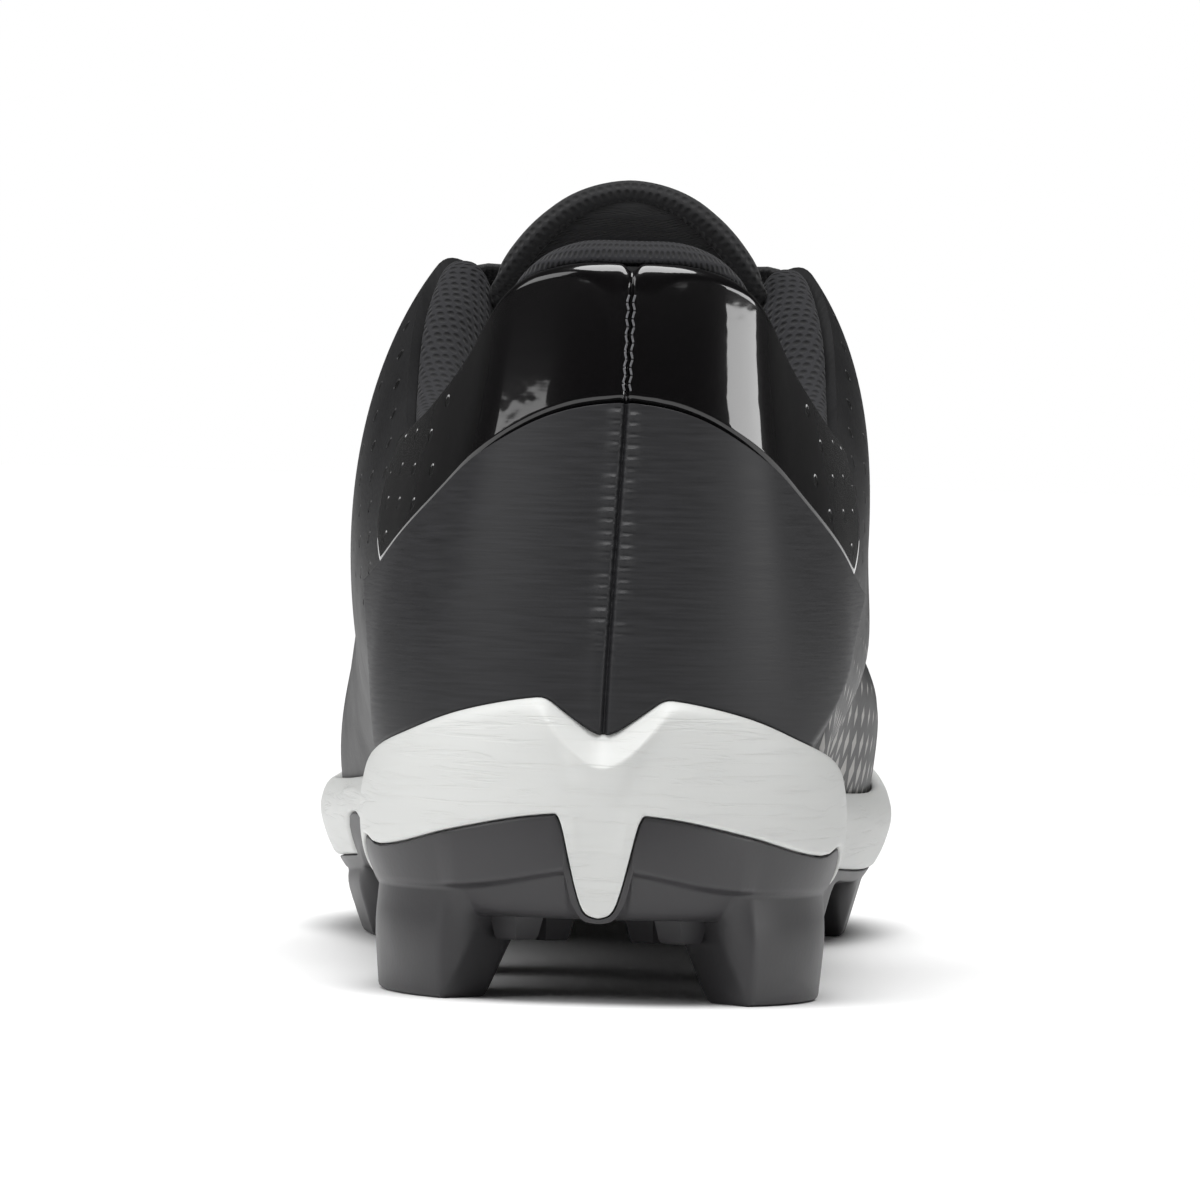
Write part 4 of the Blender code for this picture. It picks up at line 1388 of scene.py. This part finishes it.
def eyelet_pins(radius):
    """Round pins through the upper and eyestay, one for each lace hole."""
    angles = circle_angles(EYELET_SIDES)[:, None]
    count = EYELET_SIDES
    pins = []
    for turn in np.concatenate([-EYELETS, EYELETS]):
        centre = upper_point(turn, EYELET_PLACE)
        normal = upper_normal(turn, EYELET_PLACE)
        first = unit(np.cross(normal, (0.0, 1.0, 0.0)))
        circle = radius * (np.cos(angles) * first + np.sin(angles) * np.cross(normal, first))
        half = PIN_HALF_LENGTH * normal
        points = np.concatenate([centre - half + circle, centre + half + circle])
        faces = [list(range(count)), list(range(2 * count - 1, count - 1, -1))]
        faces += [[i, count + i, count + (i + 1) % count, (i + 1) % count] for i in range(count)]
        pins.append((points, faces, []))
    return join_meshes(pins)


def build_upper(colours, sizes):
    turns = both_sides(spaced_runs(HALF_ROUND, [], 1.7, 1.7) / HALF_ROUND)[None, :]
    shares = np.concatenate([np.linspace(0, 0.9, 44), np.linspace(0.92, 1.0, 7)])[:, None]
    turns, shares = np.broadcast_arrays(turns, shares)
    troughs = flex_troughs(turns, shares)
    outer = upper_point(turns, shares, -troughs)
    inner = upper_point(turns, shares, -WALL - 0.5 * troughs)
    rows = np.concatenate([outer, inner[::-1]])
    mesh = grid_mesh(rows, turns[:1] * HALF_ROUND, closed_rows=True, closed_columns=True)
    piece = add_piece("upper_quarters", mesh, matt_synthetic(colours, sizes), "upper")
    quarter, vamp = (in_zone(zone, np.abs(turns), shares) for zone in UPPER_PINHOLES)
    holes = (quarter | vamp).astype(float)
    start = soft_clip((turns - DIAMONDS_START) / 0.03, 0.5)
    end = soft_clip((DIAMONDS_END - turns) / 0.14, 0.5)
    diamonds = start * end * np.clip(1.15 - shares / DIAMONDS_TOP, 0, 1)
    none = np.zeros(holes.shape)
    mark(piece, "pinholes", np.concatenate([holes, none]))
    mark(piece, "diamonds", np.concatenate([diamonds, none]))
    join_or_cut(piece, eyelet_pins(sizes.eyelet_radius / MM), "DIFFERENCE")
    piece.data.set_sharp_from_angle(angle=math.radians(50.0))


def seam_relief(turns, heights, pucker):
    """Height of the skin by the seam down the back: a groove between two puckered swells."""
    run = turns * HALF_ROUND
    phase = math.tau * heights / PUCKER_PITCH
    uneven = np.sin(0.29 * phase + np.sign(run)) * np.sin(0.61 * phase + 2 * np.sign(run))
    ripple = 1 + pucker * (np.sin(phase + np.sign(run)) * (0.7 + 0.5 * uneven) + 0.8 * uneven)
    swell = SEAM_SWELL * ripple * hump(np.abs(run) - 1.5, 1.5)
    return swell - SEAM_DEPTH * hump(run, SEAM_HALF_WIDTH)


def heel_grid(low_reaches, high_reach, bulge, up, low, high):
    """Turns and height shares of a panel round the heel, between two edges; up by across.

    The two low reaches are those of the outer and the inner side.
    """
    half = spaced_runs(high_reach * HALF_ROUND, [(0.0, 3.2)], 0.22, 1.3)
    half = half / half[-1]
    across = np.concatenate([-half[:0:-1], half])[None, :]
    up = up[:, None]
    low_reach = np.where(across < 0, *low_reaches)
    reach = low_reach + (high_reach - low_reach) * up + bulge * 4 * up * (1 - up)
    turns = across * reach
    bottom = low(turns)
    return turns, bottom + (high(turns) - bottom) * up


def arch_share(turns, lift):
    return share_at_height(turns, around(ARCH, "height", turns) + lift)


def shell(outer, inner, runs, upright=False):
    """Closed panel between an outer and an inner grid of points."""
    rows = np.concatenate([outer, inner[::-1]])
    points, faces, places = grid_mesh(rows, runs, closed_rows=True, upright=upright)
    row_count, column_count = rows.shape[:2]
    last = row_count - 1
    for side in (0, column_count - 1):
        for row in range(len(outer) - 1):
            corners = [row, row + 1, last - row - 1, last - row]
            faces.append([corner * column_count + side for corner in corners])
            places += [(0.0, 0.0)] * 4
    return points, faces, places


def from_sides(turns):
    """Distance in from a panel's two side edges."""
    return np.minimum(turns - turns[:, :1], turns[:, -1:] - turns) * HALF_ROUND


def build_heel_counter(colours):
    turns, shares = heel_grid(
        COUNTER_LOW_REACHES,
        COUNTER_HIGH_REACH,
        0.0,
        np.linspace(0, 1, COUNTER_ROWS),
        lambda turn: share_at_height(turn, rim_height(turn) - 1.2),
        lambda turn: arch_share(turn, 0.0),
    )
    heights = upper_skin(turns, shares)[..., 2]
    full = fade(heights - rim_height(turns) + 1.0, 1.2) * fade(from_sides(turns), 5.0)
    pucker = 0.9 * fade(heights - PUCKER_START, 10.0)
    out = EDGE_OUT + full * (COUNTER_OUT - EDGE_OUT + seam_relief(turns, heights, pucker))
    outer = upper_point(turns, shares, out)
    inner = upper_point(turns, shares, np.minimum(OVERLAY_GAP, out - 0.2))
    mesh = shell(outer, inner, np.concatenate([turns, turns[::-1]]) * HALF_ROUND, upright=True)
    piece = add_piece("heel_counter_panel", mesh, streaked_synthetic(colours), "heel_counter")
    soften_edges(piece, 0.25)


def collar_edge(turns):
    """(edge, outward direction, upward direction) along the collar."""
    ones = np.ones(np.shape(turns))
    edge = upper_skin(turns, ones)
    rise = edge - upper_skin(turns, 0.98 * ones)
    return edge, upper_normal(turns, ones), unit(rise)


def curl_depth(turns):
    """How far below the collar the glossy panel starts to roll in: furthest beside the seam."""
    return 1.3 + 2.6 * hump(np.abs(turns) * HALF_ROUND - 3.6, 4.2)


def curl_start(turns):
    ones = np.ones(np.shape(turns))
    step = np.linalg.norm(upper_skin(turns, ones) - upper_skin(turns, 0.97 * ones), axis=-1)
    return 1 - 0.03 * curl_depth(turns) / step


def curl_rows(turns, outs, reach):
    """Rows that turn a panel's top edge in over the collar, from its last offsets."""
    edge, normal, rise = collar_edge(turns)
    dip = 0.9 * hump(turns * HALF_ROUND, 1.3)
    rows = []
    for angle in np.linspace(0.15, math.radians(CURL_TURN), CURL_ROWS):
        up = -curl_depth(turns) + (curl_depth(turns) + reach - dip) * math.sin(angle)
        out = CURL_IN + (outs - CURL_IN) * math.cos(angle)
        rows.append(edge + up[:, None] * rise + out[:, None] * normal)
    return np.array(rows)


def build_collar_panel(colours, sizes):
    turns, shares = heel_grid(
        PANEL_LOW_REACHES,
        PANEL_HIGH_REACH,
        PANEL_BULGE,
        np.linspace(0, 1, PANEL_ROWS),
        lambda turn: arch_share(turn, -1.5),
        curl_start,
    )
    heights = upper_skin(turns, shares)[..., 2]
    above = heights - around(ARCH, "height", turns)
    full = fade(above + 0.3, 1.4) * fade(from_sides(turns), 4.0)
    edge_out = EDGE_OUT + 0.12
    relief = PANEL_SEAM * seam_relief(turns, heights, 0.0)
    out = edge_out + full * (PANEL_OUT - edge_out + relief)
    inner_out = np.full(turns.shape, 0.1)
    sides = []
    for outs, reach in ((out, 0.5), (inner_out, 0.1)):
        curl = curl_rows(turns[-1], outs[-1], reach)
        sides.append(np.concatenate([upper_point(turns, shares, outs), curl]))
    outer, inner = sides
    runs = np.concatenate([turns, np.repeat(turns[-1:], CURL_ROWS, axis=0)]) * HALF_ROUND
    mesh = shell(outer, inner, np.concatenate([runs, runs[::-1]]), upright=True)
    piece = add_piece("collar_panel_patent", mesh, patent_synthetic(colours, sizes), "collar_panel")
    across = np.abs(runs) / HALF_ROUND
    ups = np.linspace(0, 1, len(runs))[:, None]
    holes = in_zone(PANEL_PINHOLES, across, ups)
    values = np.concatenate([holes.astype(float), np.zeros(holes.shape)])
    if values.size != len(piece.data.vertices):
        raise RuntimeError("the collar panel lost points")
    mark(piece, "pinholes", values)
    soften_edges(piece, 0.2)


def build_eyestay(colours, sizes):
    turns = np.linspace(THROAT_TOP, 2 - THROAT_TOP, 300)[None, :]
    from_end = (1 - THROAT_TOP - np.abs(turns - 1)) * HALF_ROUND
    edge = around(FACINGS, "edge", wrapped(turns))
    end_round = 1 - np.sqrt(1 - (1 - np.clip(from_end / EYESTAY_END_ROUND, 0, 1)) ** 2)
    edge = edge + (TOPLINE - edge) * 0.7 * end_round
    shares = edge + (TOPLINE - edge) * np.linspace(0, 1, 18)[:, None]
    turns, shares, from_end = np.broadcast_arrays(turns, shares, from_end)
    out = EDGE_OUT + (EYESTAY_OUT - EDGE_OUT) * fade(from_end, 8.0)
    outer = upper_point(turns, shares, out)
    inner = upper_point(turns, shares, np.minimum(OVERLAY_GAP, out - 0.2))
    mesh = shell(outer, inner, turns[:1] * HALF_ROUND)
    piece = add_piece("eyestay_facing", mesh, matt_synthetic(colours, sizes), "eyestay")
    join_or_cut(piece, eyelet_pins(sizes.eyelet_radius / MM), "DIFFERENCE")
    soften_edges(piece, 0.3)


def build_collar_lining(colours, sizes):
    end = THROAT_TOP * HALF_ROUND
    half = spaced_runs(end, [(end, 4.0)], 0.35, 1.0) / HALF_ROUND
    turns = np.concatenate([-half[:0:-1], half])
    padding = around(PADDING, "thickness", turns)
    inside = -WALL - GAP
    rows = [upper_point(turns, share, np.full(len(turns), inside)) for share in ROLL_OUTSIDE]
    edge, normal, rise = collar_edge(turns)
    front = fade(np.abs(turns) - 0.27, 0.08)
    for top in ROLL_TOP:
        depth = top.inward * (padding - inside)
        up = top.rise * (1 + 0.35 * front)
        rows.append(edge + up[:, None] * rise - depth[:, None] * normal)
    for side in ROLL_INSIDE:
        rows.append(upper_point(turns, side.share, inside - side.thickness * padding))
    rows = smooth_line(np.array(rows), 56, closed=True)
    from_end = np.clip((THROAT_TOP - np.abs(turns)) * HALF_ROUND / ROLL_END, 0.001, 1)
    full = np.sqrt(1 - (1 - from_end) ** 2)[:, None]
    base = upper_point(turns, 0.95, np.full(len(turns), inside - 0.4))
    rows = base + full * (rows - base)
    mesh = grid_mesh(rows, turns * HALF_ROUND, closed_rows=True, capped=True)
    material = spacer_mesh("collar_spacer_mesh", colours.mesh, sizes)
    piece = add_piece("collar_lining_mesh", mesh, material, "collar_lining")


# Tongue, lace and stitching
def tongue_rows():
    """(row values, direction along the tongue, distance left to its top), from its toe end up."""
    fine = smooth_line(np.array(TONGUE), 600)
    length = run_lengths(fine[:, :2])
    near = TONGUE_TOP * (1 - np.cos(np.linspace(0.02, math.pi / 2, 26)))
    left = np.concatenate([np.linspace(length[-1], TONGUE_TOP, 64)[:-1], near[::-1]])
    values = values_at(fine, length, length[-1] - left)
    way = unit(values_at(np.gradient(fine[:, :2], axis=0), length, length[-1] - left))
    full = np.sqrt(1 - (1 - np.clip(left / TONGUE_TOP, 0, 1)) ** 2)
    values[:, 2] *= full
    values[:, 3] *= full**2
    values[:, 4] *= 0.3 + 0.7 * full
    return values, way, left


def tongue_point(values, way, across, depth):
    """A point of the tongue: across from -1 to 1, and depth as a share of its thickness."""
    y, z, half, drop, thickness = (values[..., i] for i in range(5))
    down = drop * across**2 + depth * thickness * (1 - 0.5 * across**2)
    x = along(RIDGE, "offset", y) + TONGUE_SHIFT * np.clip((z - 90) / 20, 0, 1) + half * across
    return np.stack([x, y - down * way[..., 1], z + down * way[..., 0]], axis=-1)


def build_tongue(colours, sizes):
    values, way, left = tongue_rows()
    angles = circle_angles(64)
    across = signed_power(np.cos(angles), 0.6)
    depth = 0.5 - 0.5 * signed_power(np.sin(angles), 0.55)
    rows = tongue_point(values[None], way[None], across[:, None], depth[:, None])
    mesh = grid_mesh(rows, -left, closed_rows=True, capped=True)
    material = spacer_mesh("tongue_spacer_mesh", colours.binding, sizes)
    piece = add_piece("tongue_pad", mesh, material, "tongue")
    soften_edges(piece, 1.2)


def tube(path, ups, half_sizes, count=12):
    """A rounded flat tube along a path; half_sizes gives half its width and height at each point."""
    forward = unit(np.gradient(path, axis=0))
    flats = unit(np.cross(ups, forward))
    ups = np.cross(forward, flats)
    angles = circle_angles(count)[:, None, None]
    wide = signed_power(np.cos(angles), 0.7)
    tall = signed_power(np.sin(angles), 0.7)
    rows = path + wide * half_sizes[:, :1] * flats + tall * half_sizes[:, 1:] * ups
    return grid_mesh(rows, run_lengths(path), closed_rows=True, capped=True)


def build_tongue_binding(colours, sizes):
    """The rolled binding round the tongue's top and sides."""
    values, way, left = tongue_rows()
    shown = left < BINDING_REACH
    values = values[shown]
    way = way[shown]
    sides = []
    for across in (-1.0, 1.0):
        sides.append(tongue_point(values, way, np.full(len(values), across), np.full(len(values), 0.45)))
    path = np.concatenate([sides[0], sides[1][::-1]])
    run = run_lengths(path)
    path = values_at(path, run, np.linspace(0, run[-1], 260))
    ups = np.tile(BINDING_UP, (len(path), 1))
    mesh = tube(path, ups, np.tile(BINDING_HALF_SIZE, (len(path), 1)), 16)
    add_piece("tongue_binding", mesh, spacer_mesh("binding_knit", colours.binding, sizes))


def lace_path(start, end, lift, sizes):
    """(points, upward directions, half sizes) of a strand from one lace hole to another."""
    out = OVERLAY_GAP + EYESTAY_THICKNESS + LACE_CLEARANCE + sizes.lace_thickness / MM / 2 + lift
    sides = []
    for near, far in ((start, end), (end, start)):
        turns = near + column(LACE_STEPS, "turn_share") * np.sign(near) * (abs(far) - abs(near))
        heights = column(LACE_STEPS, "rise") + EYELET_PLACE
        outs = np.array([-WALL - 2.2, 0.6, out, out, out])
        sides.append((upper_point(turns, heights, outs), upper_normal(turns, heights)))
    (first, first_up), (last, last_up) = sides
    middle_up = unit(first_up[-1] + last_up[-1])
    middle = (first[-1] + last[-1]) / 2 - LACE_SAG * middle_up
    points = smooth_line(np.concatenate([first, [middle], last[::-1]]), LACE_POINTS)
    over = np.concatenate([first_up[2:], [middle_up], last_up[:1:-1]])
    ups = smooth_line(over, LACE_POINTS)
    number = np.arange(LACE_POINTS)
    from_end = np.minimum(number, number[::-1]) / LACE_GATHER
    spread = np.clip(from_end, 0, 1) ** 0.8
    width = LACE_HOLE_HALF_WIDTH + spread * (sizes.lace_width / MM / 2 - LACE_HOLE_HALF_WIDTH)
    height = LACE_HOLE_HALF_HEIGHT + spread * (sizes.lace_thickness / MM / 2 - LACE_HOLE_HALF_HEIGHT)
    return points, ups, np.stack([width, height], axis=1)


def build_lace(colours, sizes):
    pairs = [(-EYELETS[-1], EYELETS[-1])]
    for above, below in zip(EYELETS, EYELETS[1:]):
        pairs += [(-below, above), (below, -above)]
    strands = []
    for number, (start, end) in enumerate(pairs):
        points, ups, half_sizes = lace_path(start, end, number % 2 * 1.0, sizes)
        strands.append(tube(points, ups, half_sizes, 14))
    material = woven_cloth("lace_weave", colours.lace, LACE_THREAD)
    add_piece("lace_strands", join_meshes(strands), material, "lace")


def stitch_row(path, normals, sizes, scale=1.0, slant=0.0):
    """Short raised threads along a path that lies on a surface with these normals."""
    run = run_lengths(path)
    pitch = scale * sizes.stitch_pitch / MM
    length = STITCH_SHARE * pitch
    radius = scale * sizes.thread_radius / MM
    stitches = []
    side = 1.0
    for begin in np.arange(pitch / 2, run[-1] - pitch, pitch):
        at = begin + length * np.linspace(0, 1, STITCH_POINTS)
        points = values_at(path, run, at)
        up = values_at(normals, run, at)
        flat = unit(np.cross(up, np.gradient(points, axis=0)))
        sway = slant * side * np.linspace(-1, 1, STITCH_POINTS)[:, None]
        arc = np.sin(np.linspace(0.15, math.pi - 0.15, STITCH_POINTS))
        rise = radius * (0.15 + arc)[:, None]
        points = points + sway * flat + rise * up
        half_sizes = np.full((STITCH_POINTS, 2), radius)
        stitches.append(tube(points, up, half_sizes, 6))
        side = -side
    return join_meshes(stitches)


def build_stitching(colours, sizes):
    """Stitches down the seam at the back, and two rows round the eyestay."""
    heights = np.linspace(*SEAM_STITCH_HEIGHTS, 80)
    rows = []
    for run in (-SEAM_STITCH, SEAM_STITCH):
        turns = np.full(len(heights), run / HALF_ROUND)
        shares = share_at_height(turns, heights)
        out = PANEL_OUT + PANEL_SEAM * seam_relief(turns, heights, 0.0)
        path = upper_point(turns, shares, out)
        normals = upper_normal(turns, shares)
        rows.append(stitch_row(path, normals, sizes, SEAM_STITCH_SCALE, SEAM_STITCH_SLANT))
    turns = np.linspace(EYESTAY_STITCH_START, 2 - EYESTAY_STITCH_START, 400)
    edge = around(FACINGS, "edge", wrapped(turns))
    for share in EYESTAY_STITCHES:
        shares = edge + (TOPLINE - edge) * share
        out = np.full(len(turns), EYESTAY_OUT)
        rows.append(stitch_row(upper_point(turns, shares, out), upper_normal(turns, shares), sizes))
    add_piece("stitching", join_meshes(rows), sewing_thread(colours.thread))


# Stage
def add_softbox(softbox):
    """A soft lamp turned to the heel; one that lights no matt surface shows in glossy ones alone."""
    light = bpy.data.lights.new(softbox.name, "AREA")
    light.shape = "RECTANGLE"
    light.size, light.size_y = softbox.size
    light.energy = softbox.watts
    lamp = bpy.data.objects.new(softbox.name, light)
    lamp.location = softbox.place
    lamp.rotation_mode = "QUATERNION"
    way = Vector(LAMP_TARGET) - Vector(softbox.place)
    lamp.rotation_quaternion = way.to_track_quat("-Z", "Y")
    lamp.visible_diffuse = softbox.lights_matt
    bpy.context.scene.collection.objects.link(lamp)


def add_camera():
    """The photograph's camera, turned as the shoe was turned to it, and drawn in to frame the shoe."""
    heel = Vector(-MIDDLE * MM)
    turn = Matrix.Rotation(math.radians(STANCE_TURN), 3, "Z")
    lean = Matrix.Rotation(math.radians(STANCE_LEAN), 3, "Y")
    back_to_shoe = (turn @ lean).inverted()
    eye = heel + back_to_shoe @ Vector(EYE_FROM_HEEL)
    sight = back_to_shoe @ Vector(SIGHT)
    up = back_to_shoe @ Vector((0.0, 0.0, 1.0))
    back = -sight.normalized()
    right = up.cross(back).normalized()
    turned = Matrix((right, back.cross(right), back)).transposed().to_4x4()
    turned.translation = eye
    camera = bpy.data.objects.new("camera", bpy.data.cameras.new("camera"))
    bpy.context.scene.collection.objects.link(camera)
    camera.matrix_world = turned
    camera.data.sensor_width = SENSOR_WIDTH
    camera.data.lens = LENS
    camera.data.clip_end = 100.0
    bpy.context.scene.camera = camera


def add_floor(colours):
    """A round floor of matt paint."""
    points = [(0.0, 0.0, 0.0)]
    for angle in circle_angles(FLOOR_SIDES):
        points.append((FLOOR_RADIUS * math.cos(angle), FLOOR_RADIUS * math.sin(angle), 0.0))
    faces = [[0, 1 + i, 1 + (i + 1) % FLOOR_SIDES] for i in range(FLOOR_SIDES)]
    data = bpy.data.meshes.new("floor")
    data.from_pydata(points, [], faces)
    floor = bpy.data.objects.new("floor", data)
    bpy.context.scene.collection.objects.link(floor)
    material, _, _ = new_material("painted_floor", {"Base Color": colours.floor, "Roughness": 0.7})
    data.materials.append(material)


def light_room(colours):
    """A dim room, which the camera sees as a bright backdrop."""
    scene = bpy.context.scene
    world = scene.world or bpy.data.worlds.new("studio")
    scene.world = world
    world.use_nodes = True
    tree = world.node_tree
    tree.nodes.clear()
    seen = add_node(tree, "ShaderNodeLightPath")
    room = add_node(
        tree,
        "ShaderNodeBackground",
        {"Color": linear("#ffffff"), "Strength": ROOM_STRENGTH},
    )
    backdrop = add_node(tree, "ShaderNodeBackground", {"Color": colours.backdrop, "Strength": 1.0})
    mixed = add_node(
        tree,
        "ShaderNodeMixShader",
        None,
        {0: seen.outputs["Is Camera Ray"], 1: room.outputs[0], 2: backdrop.outputs[0]},
    )
    add_node(tree, "ShaderNodeOutputWorld", None, {"Surface": mixed.outputs[0]})


def build_stage(colours):
    scene = bpy.context.scene
    add_floor(colours)
    light_room(colours)
    sun = bpy.data.objects.new("overhead", bpy.data.lights.new("overhead", "SUN"))
    sun.data.energy = SUN_STRENGTH
    sun.data.angle = math.radians(SUN_SPREAD)
    sun.rotation_euler = [math.radians(angle) for angle in SUN_TILT]
    scene.collection.objects.link(sun)
    for softbox in SOFTBOXES:
        add_softbox(softbox)
    scene.view_settings.view_transform = "Standard"
    add_camera()


# Add-on
def size_property(name, description, size):
    return FloatProperty(
        name=name,
        description=description,
        default=size * MM,
        unit="LENGTH",
        precision=4,
    )


def colour_property(name, description, hex_colour):
    return FloatVectorProperty(
        name=name,
        description=description,
        default=linear(hex_colour),
        size=4,
        subtype="COLOR",
        min=0.0,
        max=1.0,
    )


class CleatSizes(bpy.types.PropertyGroup):
    """Sizes of the fine parts."""

    pinhole_pitch: size_property("Pinhole pitch", "Distance between pinholes", 7.0)
    pinhole_radius: size_property("Pinhole radius", "Radius of a pinhole", 0.95)
    mesh_pitch: size_property("Mesh pitch", "Distance between holes of the mesh", 1.25)
    eyelet_radius: size_property("Eyelet radius", "Radius of a lace hole", 2.0)
    lace_width: size_property("Lace width", "Width of the flat lace", 5.5)
    lace_thickness: size_property("Lace thickness", "Thickness of the flat lace", 1.5)
    stitch_pitch: size_property("Stitch pitch", "Distance between stitches", 1.9)
    thread_radius: size_property("Thread radius", "Radius of the sewing thread", 0.24)


class CleatColours(bpy.types.PropertyGroup):
    """Colours of the finishes."""

    rubber: colour_property("Rubber", "Outsole and studs", "#2c2b2d")
    foam: colour_property("Foam", "Midsole", "#cfd0ce")
    counter: colour_property("Counter", "Panel round the heel", "#222224")
    patent: colour_property("Patent", "Glossy panel under the collar", "#040304")
    quarter: colour_property("Quarter", "Sides and toe of the upper", "#1d1d1e")
    diamond: colour_property("Diamonds", "Small raised diamonds", "#9c9a97")
    mesh: colour_property("Mesh", "Collar lining", "#1a1a1e")
    binding: colour_property("Tongue", "Tongue and its edge", "#131315")
    insole: colour_property("Insole", "Cover of the insole", "#47474d")
    lace: colour_property("Lace", "Flat lace", "#1d1d1f")
    thread: colour_property("Thread", "Sewing thread", "#59595d")
    floor: colour_property("Floor", "Studio floor", "#f8f8f8")
    backdrop: colour_property("Backdrop", "Studio behind the shoe", "#ffffff")


class CLEAT_OT_outsole(bpy.types.Operator):
    """Adds the rubber outsole with its studs"""

    bl_idname = "cleat.outsole"
    bl_label = "Outsole"

    def execute(self, context):
        build_outsole(context.scene.cleat_colours)
        return {"FINISHED"}


class CLEAT_OT_midsole(bpy.types.Operator):
    """Adds the foam midsole and the insole in it"""

    bl_idname = "cleat.midsole"
    bl_label = "Midsole and insole"

    def execute(self, context):
        build_midsole(context.scene.cleat_colours)
        build_insole(context.scene.cleat_colours)
        return {"FINISHED"}


class CLEAT_OT_upper(bpy.types.Operator):
    """Adds the upper's quarters and toe"""

    bl_idname = "cleat.upper"
    bl_label = "Upper"

    def execute(self, context):
        build_upper(context.scene.cleat_colours, context.scene.cleat_sizes)
        return {"FINISHED"}


class CLEAT_OT_panels(bpy.types.Operator):
    """Adds the heel counter, collar panel and eyestay on the upper"""

    bl_idname = "cleat.panels"
    bl_label = "Panels"

    def execute(self, context):
        build_heel_counter(context.scene.cleat_colours)
        build_collar_panel(context.scene.cleat_colours, context.scene.cleat_sizes)
        build_eyestay(context.scene.cleat_colours, context.scene.cleat_sizes)
        return {"FINISHED"}


class CLEAT_OT_padding(bpy.types.Operator):
    """Adds the collar's padded lining and the tongue"""

    bl_idname = "cleat.padding"
    bl_label = "Padding"

    def execute(self, context):
        build_collar_lining(context.scene.cleat_colours, context.scene.cleat_sizes)
        build_tongue(context.scene.cleat_colours, context.scene.cleat_sizes)
        build_tongue_binding(context.scene.cleat_colours, context.scene.cleat_sizes)
        return {"FINISHED"}


class CLEAT_OT_lacing(bpy.types.Operator):
    """Adds the lace and the stitching"""

    bl_idname = "cleat.lacing"
    bl_label = "Lace and stitching"

    def execute(self, context):
        build_lace(context.scene.cleat_colours, context.scene.cleat_sizes)
        build_stitching(context.scene.cleat_colours, context.scene.cleat_sizes)
        return {"FINISHED"}


class CLEAT_OT_stage(bpy.types.Operator):
    """Adds the floor, lamps and camera"""

    bl_idname = "cleat.stage"
    bl_label = "Stage"

    def execute(self, context):
        build_stage(context.scene.cleat_colours)
        return {"FINISHED"}


OPERATORS = (
    CLEAT_OT_outsole,
    CLEAT_OT_midsole,
    CLEAT_OT_upper,
    CLEAT_OT_panels,
    CLEAT_OT_padding,
    CLEAT_OT_lacing,
    CLEAT_OT_stage,
)


class CLEAT_PT_panel(bpy.types.Panel):
    """Lists the cleat's pieces, sizes and colours"""

    bl_idname = "CLEAT_PT_panel"
    bl_label = "Softball cleat"
    bl_space_type = "VIEW_3D"
    bl_region_type = "UI"
    bl_category = "Cleat"

    def draw(self, context):
        for operator in OPERATORS:
            self.layout.operator(operator.bl_idname)
        for group in (context.scene.cleat_sizes, context.scene.cleat_colours):
            for name in group.__annotations__:
                self.layout.prop(group, name)


CLASSES = (CleatSizes, CleatColours, *OPERATORS, CLEAT_PT_panel)


def register():
    for one in CLASSES:
        bpy.utils.register_class(one)
    bpy.types.Scene.cleat_sizes = PointerProperty(type=CleatSizes)
    bpy.types.Scene.cleat_colours = PointerProperty(type=CleatColours)


def unregister():
    del bpy.types.Scene.cleat_colours
    del bpy.types.Scene.cleat_sizes
    for one in reversed(CLASSES):
        bpy.utils.unregister_class(one)


def main():
    register()
    bpy.ops.cleat.outsole()
    bpy.ops.cleat.midsole()
    bpy.ops.cleat.upper()
    bpy.ops.cleat.panels()
    bpy.ops.cleat.padding()
    bpy.ops.cleat.lacing()
    bpy.ops.cleat.stage()


if __name__ == "__main__":
    main()
